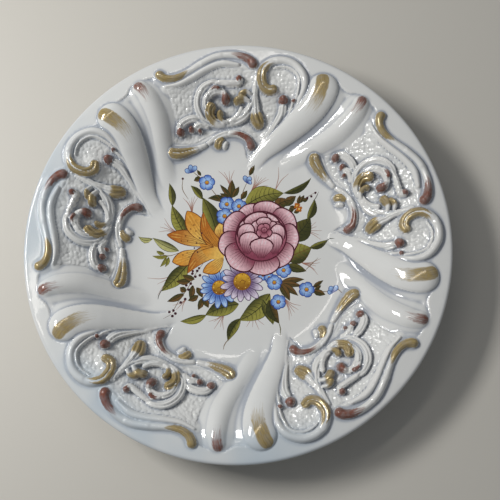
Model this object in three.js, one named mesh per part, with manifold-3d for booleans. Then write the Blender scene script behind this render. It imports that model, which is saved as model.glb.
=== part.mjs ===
// A round relief plate of cast, glazed ceramic, lying on its foot ring. Millimetres, +Z up.
// The origin is the middle of the foot ring's underside. A border pattern repeats five times around
// the well: an S-shaped rail, a C-scroll, a sprig of curled leaves on a sunk ground, and a swirling lobe.

import * as THREE from 'three';
import { mergeVertices } from 'three/addons/utils/BufferGeometryUtils.js';
import Module from 'manifold-3d';

// Driving dimensions of the plate.
const PLATE_DIAMETER = 400;
const WELL_DEPTH = 40;
const WELL_RADIUS = 92;
const WELL_SAG = 2;
const BRIM_WIDTH = 16;
const FLOOR_THICKNESS = 8;
const WALL_THICKNESS = 8;
const EDGE_THICKNESS = 7;
const EDGE_ROUNDING = 3;
const FOOT_RADIUS = 104;
const FOOT_WIDTH = 10;
const FOOT_HEIGHT = 6;
const FOOT_DRAFT = 3;

// Driving dimensions of the border.
const REPEATS = 5;
const FIRST_REPEAT_ANGLE = 80;
const GROUND_DEPTH = 2.6;
const BEDDING = 0.8;
const SEAT = 3.2;
const RAIL_WIDTH = 8;
const RAIL_HEIGHT = 4.6;
const SCROLL_WIDTH = 9;
const SCROLL_HEIGHT = 5.2;
const COMMA_WIDTH = 12;
const COMMA_HEIGHT = 5;
const STEM_WIDTH = 5;
const STEM_HEIGHT = 4.6;
const CURL_WIDTH = 6.5;
const CURL_HEIGHT = 6;
const LEAF_WIDTH = 8;
const LEAF_HEIGHT = 6.4;
const BUD_WIDTH = 7;
const BUD_HEIGHT = 5.8;
const LOBE_WIDTH = 28;
const LOBE_HEIGHT = 9;
const RIDGE_WIDTH = 14;
const RIDGE_HEIGHT = 5;

// Fineness of the facets.
const AROUND = 60;
const WALL_STEPS = 5;
const BACK_STEPS = 3;
const GROUND_STEPS = 4;
const SMALL_FACETS = 2;
const MIDDLE_FACETS = 3;
const LARGE_FACETS = 4;
const TIP_ROUNDING = 0.15;

const RIM_RADIUS = PLATE_DIAMETER / 2;
const BRIM_RADIUS = RIM_RADIUS - BRIM_WIDTH;
const FLOOR_TOP = FOOT_HEIGHT + FLOOR_THICKNESS;
const RIM_TOP = FLOOR_TOP + WELL_DEPTH;

// The border's points are drawn for a rim of this radius, and follow the real one.
const DRAWN_RADIUS = 200;
const DRAWN = RIM_RADIUS / DRAWN_RADIUS;

// Height of the plate's face, before carving, at a radius from the middle.
function faceHeight(radius) {
  const share = (radius - WELL_RADIUS) / (BRIM_RADIUS - WELL_RADIUS);
  const rise = THREE.MathUtils.smoothstep(share, 0, 1);
  const bowl = 1 - Math.min(radius / WELL_RADIUS, 1) ** 2;
  return RIM_TOP - (WELL_DEPTH - WELL_SAG) * (1 - rise) - WELL_SAG * bowl;
}

// Height of the underside below the wall, a true wall's thickness square to the face.
function backHeight(radius) {
  const reach = 1;
  const slope = (faceHeight(radius + reach) - faceHeight(radius - reach)) / (2 * reach);
  return faceHeight(radius) - WALL_THICKNESS * Math.hypot(1, slope);
}

// One closed body for joining and cutting, from a three.js geometry.
const wasm = await Module();
wasm.setup();

function toSolid(geometry) {
  geometry.deleteAttribute('normal');
  geometry.deleteAttribute('uv');
  const merged = mergeVertices(geometry, 1e-4);
  const index = merged.index.array;
  const kept = [];
  for (let i = 0; i < index.length; i += 3) {
    const [a, b, c] = [index[i], index[i + 1], index[i + 2]];
    if (a !== b && b !== c && c !== a) kept.push(a, b, c);
  }
  return new wasm.Manifold(new wasm.Mesh({
    numProp: 3,
    vertProperties: new Float32Array(merged.attributes.position.array),
    triVerts: new Uint32Array(kept),
  }));
}

// The plain plate without its border: one turned profile from the well's middle, over the rim and back.
function turnedPlate() {
  const profile = [new THREE.Vector2(0, faceHeight(0))];
  profile.push(new THREE.Vector2(WELL_RADIUS / 2, faceHeight(WELL_RADIUS / 2)));
  for (let i = 0; i <= WALL_STEPS; i += 1) {
    const radius = THREE.MathUtils.lerp(WELL_RADIUS, BRIM_RADIUS, i / WALL_STEPS);
    profile.push(new THREE.Vector2(radius, faceHeight(radius)));
  }
  profile.push(new THREE.Vector2(RIM_RADIUS - EDGE_ROUNDING, RIM_TOP));
  profile.push(new THREE.Vector2(RIM_RADIUS, RIM_TOP - EDGE_ROUNDING));
  profile.push(new THREE.Vector2(RIM_RADIUS, RIM_TOP - EDGE_THICKNESS + EDGE_ROUNDING));
  profile.push(new THREE.Vector2(RIM_RADIUS - EDGE_ROUNDING, RIM_TOP - EDGE_THICKNESS));
  const footOutside = FOOT_RADIUS + FOOT_WIDTH / 2;
  const footInside = FOOT_RADIUS - FOOT_WIDTH / 2;
  const footTop = footOutside + FOOT_DRAFT;
  for (let i = BACK_STEPS; i >= 0; i -= 1) {
    const radius = THREE.MathUtils.lerp(footTop, BRIM_RADIUS, i / BACK_STEPS);
    profile.push(new THREE.Vector2(radius, backHeight(radius)));
  }
  profile.push(new THREE.Vector2(footOutside, 0));
  profile.push(new THREE.Vector2(footInside, 0));
  profile.push(new THREE.Vector2(footInside - FOOT_DRAFT, FOOT_HEIGHT));
  profile.push(new THREE.Vector2(0, FOOT_HEIGHT));
  profile.reverse();
  return new THREE.LatheGeometry(profile, AROUND).rotateX(Math.PI / 2);
}

// Turns a border point, drawn with x to the right and y outward, into the plate's own x and y.
function placed(point, repeat) {
  const angle = THREE.MathUtils.degToRad(FIRST_REPEAT_ANGLE - (360 / REPEATS) * repeat);
  const outward = new THREE.Vector2(Math.cos(angle), Math.sin(angle));
  const right = new THREE.Vector2(outward.y, -outward.x);
  return right.multiplyScalar(point.x * DRAWN).addScaledVector(outward, point.y * DRAWN);
}

// A smooth curve through drawn points.
function curve(points) {
  return new THREE.SplineCurve(points.map(([x, y]) => new THREE.Vector2(x, y)));
}

// The value at a share of a curve's length, from a few values spread evenly along it.
function along(values, share) {
  const place = share * (values.length - 1);
  const low = Math.min(Math.floor(place), values.length - 2);
  return THREE.MathUtils.lerp(values[low], values[low + 1], place - low);
}

// A closed body from rings of points, each ring in the same order.
function lofted(rings) {
  const count = rings[0].length;
  const position = rings.flat().flatMap((point) => [point.x, point.y, point.z]);
  const index = [];
  for (let i = 0; i + 1 < rings.length; i += 1) {
    for (let j = 0; j < count; j += 1) {
      const next = (j + 1) % count;
      const [a, b] = [i * count + j, i * count + next];
      const [c, d] = [a + count, b + count];
      index.push(a, d, b, a, c, d);
    }
  }
  const last = (rings.length - 1) * count;
  for (let j = 1; j + 1 < count; j += 1) {
    index.push(0, j, j + 1, last, last + j + 1, last + j);
  }
  const geometry = new THREE.BufferGeometry();
  geometry.setAttribute('position', new THREE.Float32BufferAttribute(position, 3));
  geometry.setIndex(index);
  return geometry;
}

// A rounded strip that follows a curve on the plate's face: a scroll, stem, leaf or lobe.
// widths and lifts are shares of width and height, spread evenly along it. Its ends are rounded.
function strip(scroll, repeat) {
  const { points, widths, width, height, steps, facets, lifts = widths.map(Math.sqrt) } = scroll;
  const sunk = scroll.onGround ? GROUND_DEPTH + BEDDING : BEDDING;
  const path = curve(points);
  const length = path.getLength();
  const endRadii = [widths[0], widths.at(-1)].map((share) => (width * share) / 2);
  const shares = [TIP_ROUNDING * endRadii[0] / length];
  for (let i = 0; i < steps; i += 1) {
    shares.push(THREE.MathUtils.lerp(endRadii[0], length - endRadii[1], i / (steps - 1)) / length);
  }
  shares.push(1 - TIP_ROUNDING * endRadii[1] / length);
  const rings = shares.map((share) => {
    const middle = path.getPointAt(share);
    const heading = path.getTangentAt(share);
    const side = new THREE.Vector2(-heading.y, heading.x);
    const plain = along(widths, share);
    const inset = share < 0.5
      ? Math.max(0, 1 - (share * length) / endRadii[0])
      : Math.max(0, 1 - ((1 - share) * length) / endRadii[1]);
    const rounding = Math.sqrt(1 - inset ** 2);
    const half = (width * plain * rounding) / 2;
    const lift = (height + sunk) * along(lifts, share) * rounding;
    const ring = [];
    for (let k = 0; k <= facets; k += 1) {
      const turn = (Math.PI * k) / facets;
      const at = placed(middle.clone().addScaledVector(side, -half * Math.cos(turn)), repeat);
      const base = faceHeight(at.length()) - sunk;
      ring.push(new THREE.Vector3(at.x, at.y, base + lift * Math.sin(turn)));
    }
    for (const edge of [ring.at(-1), ring[0]]) {
      ring.push(new THREE.Vector3(edge.x, edge.y, edge.z - SEAT));
    }
    return ring;
  });
  return lofted(rings);
}

// The sunk ground between four edges: each floor point is blended from the four edge curves.
function groundCut(edges, repeat) {
  const clear = 30;
  const [bottom, top, left, right] = edges.map(curve);
  const corners = [bottom.getPoint(0), bottom.getPoint(1), top.getPoint(0), top.getPoint(1)];
  const blended = (s, t) => {
    const across = bottom.getPointAt(s).multiplyScalar(1 - t).addScaledVector(top.getPointAt(s), t);
    across.addScaledVector(left.getPointAt(t), 1 - s).addScaledVector(right.getPointAt(t), s);
    across.addScaledVector(corners[0], -(1 - s) * (1 - t)).addScaledVector(corners[1], -s * (1 - t));
    return across.addScaledVector(corners[2], -(1 - s) * t).addScaledVector(corners[3], -s * t);
  };
  const count = GROUND_STEPS + 1;
  const position = [];
  for (const roof of [0, 1]) {
    for (let j = 0; j < count; j += 1) {
      for (let i = 0; i < count; i += 1) {
        const at = placed(blended(i / GROUND_STEPS, j / GROUND_STEPS), repeat);
        const floor = faceHeight(at.length()) - GROUND_DEPTH;
        position.push(at.x, at.y, floor + roof * (GROUND_DEPTH + clear));
      }
    }
  }
  const layer = count * count;
  const index = [];
  for (let j = 0; j < GROUND_STEPS; j += 1) {
    for (let i = 0; i < GROUND_STEPS; i += 1) {
      const a = j * count + i;
      const [b, c, d] = [a + 1, a + count + 1, a + count];
      index.push(a, c, b, a, d, c, layer + a, layer + b, layer + c, layer + a, layer + c, layer + d);
    }
  }
  const wall = (a, b) => index.push(a, b, layer + b, a, layer + b, layer + a);
  for (let i = 0; i < GROUND_STEPS; i += 1) {
    wall(i, i + 1);
    wall(layer - 1 - i, layer - 2 - i);
    wall((i + 1) * count, i * count);
    wall((i + 1) * count - 1, (i + 2) * count - 1);
  }
  const geometry = new THREE.BufferGeometry();
  geometry.setAttribute('position', new THREE.Float32BufferAttribute(position, 3));
  geometry.setIndex(index);
  return geometry;
}

// Edges of the sunk ground: along the inner rail, under the outer rail, the left side and the lobe's side.
const GROUND_EDGES = [
  [[-82, 94], [-62, 99], [-42, 113], [-20, 116], [-9, 95]],
  [[-97, 141], [-72, 159], [-52, 171], [-20, 170], [35, 165]],
  [[-82, 94], [-85, 118], [-97, 141]],
  [[-9, 95], [8, 119], [25, 138], [35, 165]],
];

// Sizes that strips of one kind share. Those marked onGround stand on the sunk ground.
const scroll = { width: SCROLL_WIDTH, height: SCROLL_HEIGHT, facets: MIDDLE_FACETS };
const stem = { width: STEM_WIDTH, height: STEM_HEIGHT, facets: SMALL_FACETS, onGround: true };
const leaf = { width: LEAF_WIDTH, height: LEAF_HEIGHT, facets: SMALL_FACETS, onGround: true };
const curl = { width: CURL_WIDTH, height: CURL_HEIGHT, facets: SMALL_FACETS, onGround: true };
const bud = { width: BUD_WIDTH, height: BUD_HEIGHT, facets: SMALL_FACETS, onGround: true };

// What stands up from the face in one repeat of the border.
const CARVING = {
  outerRail: {
    width: RAIL_WIDTH,
    height: RAIL_HEIGHT,
    facets: SMALL_FACETS,
    steps: 7,
    widths: [1.2, 0.9, 0.9, 1, 1, 1, 1, 1.2],
    points: [[-107, 156], [-101, 150.5], [-90, 152], [-79, 159], [-66, 171], [-54, 180], [-40, 184.5],
      [-28, 184.5], [-19, 180.5], [-16, 174]],
  },
  cScroll: {
    ...scroll,
    steps: 9,
    widths: [0.9, 1.1, 1, 0.9, 0.8, 0.75, 0.6, 0.5, 0.3],
    points: [[8, 159], [1, 158], [-5.5, 164], [-6.5, 175], [0, 183.5], [11, 187.5], [23, 185], [33, 175],
      [36, 162], [32, 149], [24, 136], [13, 123.5], [3, 111.5], [-7, 96]],
  },
  innerRail: {
    width: COMMA_WIDTH,
    height: COMMA_HEIGHT,
    facets: SMALL_FACETS,
    steps: 6,
    widths: [1, 0.7, 0.45, 0.45, 0.5, 0.55, 0.6, 0.75],
    points: [[-82, 87], [-70, 90.5], [-57, 97], [-47, 106], [-35, 113], [-22, 114.5], [-13, 110], [-12.5, 104]],
  },
  knob: { ...bud, onGround: false, steps: 2, widths: [0.8, 1.2], points: [[-42, 106], [-44, 98]] },
  mainStem: {
    ...stem,
    steps: 5,
    widths: [0.5, 0.9, 1.1, 1, 1, 1, 1.4],
    points: [[-14, 166], [-11.5, 152], [-13, 139], [-20, 129], [-33, 122.5], [-48, 120], [-64, 119.5],
      [-76, 111]],
  },
  sideLobe: { ...bud, steps: 2, widths: [0.5, 1], points: [[-56, 119], [-65, 116], [-67, 109]] },
  lowLobe: { ...bud, steps: 2, widths: [0.6, 1.2], points: [[-70, 118], [-77, 112], [-76, 104]] },
  roundel: {
    ...curl,
    steps: 5,
    widths: [0.6, 1, 1.1, 1, 1, 1.3],
    points: [[-46, 120.5], [-58, 126], [-62.5, 137], [-57.5, 147.5], [-47.5, 152], [-38, 149], [-37, 141]],
  },
  shellLeft: { ...leaf, steps: 2, widths: [0.8, 1.1], points: [[-44, 123], [-51, 128], [-48, 137]] },
  shellRight: { ...leaf, steps: 2, widths: [0.5, 0.8], points: [[-34, 124], [-41, 129], [-40, 136]] },
  nearLeaf: { ...leaf, steps: 2, widths: [0.5, 0.8, 1], points: [[-13, 148], [-21, 150], [-29, 143]] },
  budStalk: {
    ...bud,
    steps: 4,
    widths: [0.4, 0.4, 0.5, 1],
    points: [[-54, 148], [-46, 154.5], [-34, 156.5], [-27, 159], [-29, 165]],
  },
  hangingLeaf: { ...leaf, steps: 3, widths: [0.5, 0.9, 1.2], points: [[-11.5, 150], [-9, 138], [-3, 128]] },
  bigHead: {
    ...leaf,
    steps: 4,
    widths: [0.2, 0.4, 0.5, 1.1],
    points: [[2, 113], [13, 127], [20, 141], [18, 154]],
  },
  smallHead: {
    ...leaf,
    steps: 4,
    widths: [0.2, 0.4, 0.4, 0.7],
    points: [[7, 116], [19, 130], [26.5, 142], [28, 151]],
  },
  lobe: {
    width: LOBE_WIDTH,
    height: LOBE_HEIGHT,
    facets: LARGE_FACETS,
    steps: 7,
    widths: [0.9, 1.05, 1, 0.9, 0.75, 0.6, 0.42, 0.25, 0.1],
    lifts: [0.55, 0.75, 0.95, 1, 0.9, 0.75, 0.55, 0.35, 0.2],
    points: [[52, 179], [54, 165], [48, 149], [35, 133], [20, 118], [6, 103], [-3, 87], [-7, 76]],
  },
  ridge: {
    width: RIDGE_WIDTH,
    height: RIDGE_HEIGHT,
    facets: SMALL_FACETS,
    steps: 5,
    widths: [0.9, 1, 0.9, 0.7, 0.5, 0.4, 0.2],
    points: [[94, 163], [89, 147], [76, 129], [58, 115], [38, 101], [18, 86]],
  },
};

let casting = toSolid(turnedPlate());
for (let repeat = 0; repeat < REPEATS; repeat += 1) {
  casting = casting.subtract(toSolid(groundCut(GROUND_EDGES, repeat)));
}
for (let repeat = 0; repeat < REPEATS; repeat += 1) {
  for (const scroll of Object.values(CARVING)) {
    casting = casting.add(toSolid(strip(scroll, repeat)));
  }
}

// The finished casting as a three.js mesh.
function toMesh(solid, name, material) {
  const { vertProperties, triVerts } = solid.getMesh();
  const geometry = new THREE.BufferGeometry();
  geometry.setAttribute('position', new THREE.BufferAttribute(vertProperties, 3));
  geometry.setIndex(new THREE.BufferAttribute(triVerts, 1));
  geometry.computeVertexNormals();
  const mesh = new THREE.Mesh(geometry, material);
  mesh.name = name;
  return mesh;
}

const glaze = new THREE.MeshStandardMaterial({ color: 0xd9dde2, roughness: 0.18, metalness: 0 });

const model = new THREE.Group();
model.add(toMesh(casting, 'plate', glaze));

export default model;
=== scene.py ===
"""A round relief plate of cast, glazed ceramic with a painted bouquet, lying on its foot ring.

The plate is one closed mesh: a finely carved face, a rounded rim and a turned back with a foot ring.
Sizes here are millimetres until the mesh is made, and the border is drawn once and laid five times.
"""

import logging
import math
from dataclasses import dataclass, field
from enum import Enum
from typing import ClassVar

import bpy
import numpy as np
from mathutils import Matrix, Vector
from mathutils.geometry import delaunay_2d_cdt
from mathutils.kdtree import KDTree


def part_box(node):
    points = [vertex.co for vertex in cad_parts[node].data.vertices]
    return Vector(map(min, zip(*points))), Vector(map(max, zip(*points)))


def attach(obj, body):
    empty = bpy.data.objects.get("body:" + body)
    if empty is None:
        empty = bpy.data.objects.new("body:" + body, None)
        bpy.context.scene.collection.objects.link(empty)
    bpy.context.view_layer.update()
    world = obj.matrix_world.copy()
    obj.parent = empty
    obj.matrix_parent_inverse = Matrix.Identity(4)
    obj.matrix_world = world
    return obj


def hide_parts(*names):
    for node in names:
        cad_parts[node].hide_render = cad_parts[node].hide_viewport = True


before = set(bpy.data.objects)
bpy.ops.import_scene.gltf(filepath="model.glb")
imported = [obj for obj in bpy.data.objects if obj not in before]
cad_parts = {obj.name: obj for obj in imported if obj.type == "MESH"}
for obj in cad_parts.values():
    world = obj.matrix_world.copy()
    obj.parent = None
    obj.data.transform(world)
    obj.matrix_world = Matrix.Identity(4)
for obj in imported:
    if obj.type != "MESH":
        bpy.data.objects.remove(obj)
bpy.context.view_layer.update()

LOG = logging.getLogger("plate")
MM = 0.001
NODE = "plate"
BODY = "root"

TINY = 1e-9  # Keeps a direction's length above nothing.
CHUNK = 4000  # How many places are measured at once.
UNPAINTED = -3.0  # The stored distance into paint, far from any.
FULL_TURN = 2.0 * math.pi

Place = tuple[float, float]
Points = list[Place]
Triple = tuple[float, float, float]
Shares = tuple[float, ...]
Socket = bpy.types.NodeSocket


class Crown(Enum):
    """The cross-section of a raised strip."""

    ROUND = "round"
    PINCHED = "pinched"
    TWIN = "twin"
    FLUTED = "fluted"


class Paint(Enum):
    """What a raised strip is painted with."""

    NONE = "none"
    GOLD = "gold"
    MAROON = "maroon"


def smoothstep(value: np.ndarray) -> np.ndarray:
    """Ease from 0 to 1 as value goes from 0 to 1."""
    held = np.clip(value, 0.0, 1.0)
    return held * held * (3.0 - 2.0 * held)


def soft_max(one: np.ndarray, other: np.ndarray, fillet: float) -> np.ndarray:
    """The larger of two heights, rounded where they are less than a fillet apart."""
    near = np.maximum(fillet - np.abs(one - other), 0.0) / fillet
    return np.maximum(one, other) + near * near * fillet / 4.0


def spline(points: Points, spacing: float = 0.7) -> tuple[np.ndarray, np.ndarray]:
    """Sample a smooth curve through points.

    Args:
        points: The points that the curve passes through.
        spacing: The distance between samples.

    Returns:
        The samples, and each one's distance along the curve.
    """
    knots = np.array(points, dtype=float)
    padded = np.vstack([2 * knots[0] - knots[1], knots, 2 * knots[-1] - knots[-2]])
    pieces = []
    for i in range(1, len(padded) - 2):
        before, start, end, after = padded[i - 1 : i + 3]
        count = max(2, int(np.linalg.norm(end - start) / (spacing / 4.0)))
        t = np.linspace(0.0, 1.0, count, endpoint=False)[:, None]
        pieces.append(
            0.5 * (2 * start + (end - before) * t
                   + (2 * before - 5 * start + 4 * end - after) * t**2
                   + (3 * start - before - 3 * end + after) * t**3)
        )
    dense = np.vstack([*pieces, knots[-1:]])
    run = np.concatenate([[0.0], np.cumsum(np.linalg.norm(np.diff(dense, axis=0), axis=1))])
    even = np.linspace(0.0, run[-1], max(3, int(run[-1] / spacing)))
    samples = np.column_stack([np.interp(even, run, dense[:, axis]) for axis in (0, 1)])
    return samples, even


def along(values: Shares, share: np.ndarray) -> np.ndarray:
    """Values spread evenly over a length, read at shares of it."""
    return np.interp(share, np.linspace(0, 1, len(values)), values)


def headings(samples: np.ndarray) -> np.ndarray:
    """The direction of a curve at each of its samples."""
    if len(samples) < 2:
        return np.array([[1.0, 0.0]])
    heading = np.gradient(samples, axis=0)
    return heading / np.maximum(np.linalg.norm(heading, axis=1, keepdims=True), TINY)


def inside(outline: np.ndarray, at: np.ndarray) -> np.ndarray:
    """Whether each place, one a row, lies within a closed outline."""
    within = np.zeros(len(at), dtype=bool)
    for (x0, y0), (x1, y1) in zip(outline, np.roll(outline, -1, axis=0)):
        if y0 != y1:
            spans = (y0 > at[:, 1]) != (y1 > at[:, 1])
            within ^= spans & (at[:, 0] < (x1 - x0) * (at[:, 1] - y0) / (y1 - y0) + x0)
    return within


def gap_to(samples: np.ndarray, at: np.ndarray) -> np.ndarray:
    """The distance from each place to the nearest of some samples."""
    gaps = np.empty(len(at))
    for i in range(0, len(at), CHUNK):
        apart = at[i : i + CHUNK, None, :] - samples[None, :, :]
        gaps[i : i + CHUNK] = np.sqrt((apart**2).sum(axis=2).min(axis=1))
    return gaps


@dataclass(frozen=True)
class Strip:
    """A raised strip along a curve: a rail, scroll, stem, leaf, bead or lobe. Millimetres."""

    points: Points
    width: float
    height: float
    widths: Shares = (1.0, 1.0)
    lifts: Shares | None = None
    crown: Crown = Crown.ROUND
    on_ground: bool = False
    paint: Paint = Paint.NONE
    painted: tuple[float, float] = (0.0, 1.0)
    feather: float = 1.0
    moat: float = 0.6
    sharpness: float = 0.62

    snug: ClassVar[float] = 0.999  # How much of its end's half width a round end takes.
    groove_reach: ClassVar[float] = 0.22
    groove_depth: ClassVar[float] = 0.38
    fluted_share: ClassVar[float] = 0.75
    flute_depth: ClassVar[float] = 0.3
    outer_fall: ClassVar[float] = 0.35

    def measure(self, at: np.ndarray) -> tuple[np.ndarray, ...]:
        """Measure places against the strip.

        Args:
            at: The places in the border's own drawing, one a row.

        Returns:
            For each place: its distance from the strip's middle in half widths, the half width there,
            the share of the strip's length, the signed distance to its side and the strip's length.
        """
        samples, run = spline(self.points)
        length = run[-1]
        share = run / length
        half = self.width * along(self.widths, share) / 2
        kept = (run >= half[0] * self.snug) & (run <= length - half[-1] * self.snug)
        if kept.sum() < 2:
            kept = np.zeros(len(run), dtype=bool)
            kept[len(run) // 2] = True
        samples, share, half = samples[kept], share[kept], half[kept]
        heading = headings(samples)
        out = [np.empty(len(at)) for _ in range(4)]
        for i in range(0, len(at), CHUNK):
            block = at[i : i + CHUNK]
            apart = block[:, None, :] - samples[None, :, :]
            away = np.sqrt((apart**2).sum(axis=2)) / half[None, :]
            best = away.argmin(axis=1)
            rows = np.arange(len(block))
            off = apart[rows, best]
            side = heading[best, 0] * off[:, 1] - heading[best, 1] * off[:, 0]
            for column, value in zip(out, (away[rows, best], half[best], share[best], side)):
                column[i : i + CHUNK] = value
        return (*out, length)

    def profile(self, away: np.ndarray, side: np.ndarray, half: np.ndarray) -> np.ndarray:
        """The cross-section's height share at a distance from the middle.

        Args:
            away: The distance from the middle in half widths.
            side: The signed distance to the side.
            half: The half width.

        Returns:
            1 on the crest and 0 at the edge, falling on below 0 outside.
        """
        inner = np.clip(1.0 - away**2, 0.0, 1.0)
        if self.crown is Crown.PINCHED:
            shape = 0.55 * (1.0 - np.clip(away, 0, 1)) ** 0.9 + 0.45 * inner**0.7
        elif self.crown is Crown.TWIN:
            groove = np.exp(-((side / (self.groove_reach * half)) ** 2))
            shape = inner**0.5 * (1.0 - self.groove_depth * groove)
        elif self.crown is Crown.FLUTED:
            across = np.abs(side / half)
            flutes = 0.5 - 0.5 * np.cos(3.0 * math.pi * across)
            groove = np.where(across < self.fluted_share, flutes, 0.0)
            shape = inner**0.45 * (1.0 - self.flute_depth * groove)
        else:
            shape = inner**self.sharpness
        return np.where(away < 1.0, shape, -(away - 1.0) * half * self.outer_fall)

    def reach(self) -> float:
        """How far from its points the strip can matter."""
        return self.width * max(self.widths) * 0.75 + 4.0


@dataclass(frozen=True)
class Hollow:
    """A soft channel sunk along a curve. Millimetres."""

    points: Points
    width: float
    depth: float
    widths: Shares


@dataclass
class Turning:
    """The plate's turned form without its carving. Millimetres."""

    rim_radius: float
    well_depth: float = 40.0
    well_radius: float = 92.0
    well_sag: float = 2.0
    well_ease: float = 0.09
    brim_width: float = 16.0
    floor_thickness: float = 8.0
    wall_thickness: float = 8.0
    edge_thickness: float = 7.0
    edge_rounding: float = 3.0
    foot_radius: float = 104.0
    foot_width: float = 10.0
    foot_height: float = 6.0
    foot_draft: float = 3.0
    wall_rings: int = 8

    @property
    def rim_top(self) -> float:
        """Height of the rim over what the plate stands on."""
        return self.foot_height + self.floor_thickness + self.well_depth

    @property
    def face_radius(self) -> float:
        """Radius where the face ends and the rim's rounded edge starts."""
        return self.rim_radius - self.edge_rounding

    def face(self, radius: np.ndarray) -> np.ndarray:
        """Height of the face before carving, at distances from the middle."""
        brim_radius = self.rim_radius - self.brim_width
        share = (radius - self.well_radius) / (brim_radius - self.well_radius)
        rise = smoothstep((share + np.sqrt(share**2 + self.well_ease**2)) / 2)
        bowl = (1.0 - np.minimum(radius / self.well_radius, 1.0) ** 2) ** 2
        return self.rim_top - (self.well_depth - self.well_sag) * (1.0 - rise) - self.well_sag * bowl

    def back(self, radius: np.ndarray) -> np.ndarray:
        """Height of the underside, a wall's thickness square to the face."""
        slope = (self.face(radius + 1.0) - self.face(radius - 1.0)) / 2.0
        return self.face(radius) - self.wall_thickness * np.hypot(1.0, slope)

    def back_profile(self) -> np.ndarray:
        """The profile from the face's end over the rim's edge and the back to near the middle.

        Returns:
            Radius and height, one pair a row, ending on the middle.
        """
        top, low = self.rim_top, self.rim_top - self.edge_thickness
        quarter, rounding = math.pi / 2, self.edge_rounding
        rows = [(self.face_radius + rounding * math.sin(turn), top - rounding * (1 - math.cos(turn)))
                for turn in np.linspace(0.0, quarter, 5)[1:]]
        rows += [(self.face_radius + rounding * math.cos(turn), low + rounding * (1 - math.sin(turn)))
                 for turn in np.linspace(0.0, quarter, 4)]
        foot_out = self.foot_radius + self.foot_width / 2
        foot_in = self.foot_radius - self.foot_width / 2
        wall = np.linspace(self.rim_radius - self.brim_width, foot_out + self.foot_draft, self.wall_rings)
        rows += [(radius, float(self.back(np.array(radius)))) for radius in wall]
        rows += [(foot_out + 0.8, 2.0), (foot_out + 0.2, 0.7), (foot_out - 0.6, 0.0), (foot_in + 0.6, 0.0)]
        rows += [(foot_in - 0.2, 0.7), (foot_in - 1.4, 3.4), (foot_in - self.foot_draft, 5.4)]
        rows += [(foot_in - self.foot_draft - 1.2, self.foot_height)]
        rows += [(radius, self.foot_height) for radius in (70.0, 45.0, 20.0)]
        return np.array(rows)


GOLD_PAINT = {"paint": Paint.GOLD}
MAROON_PAINT = {"paint": Paint.MAROON}
ON = {"on_ground": True}
THIN = {**ON, "crown": Crown.PINCHED}
LEAFY = {**ON, "crown": Crown.FLUTED}
GOLD_END = {"painted": (0.32, 1.0), "feather": 0.45, **GOLD_PAINT}
MAROON_BEAD = {**ON, **MAROON_PAINT}


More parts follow.
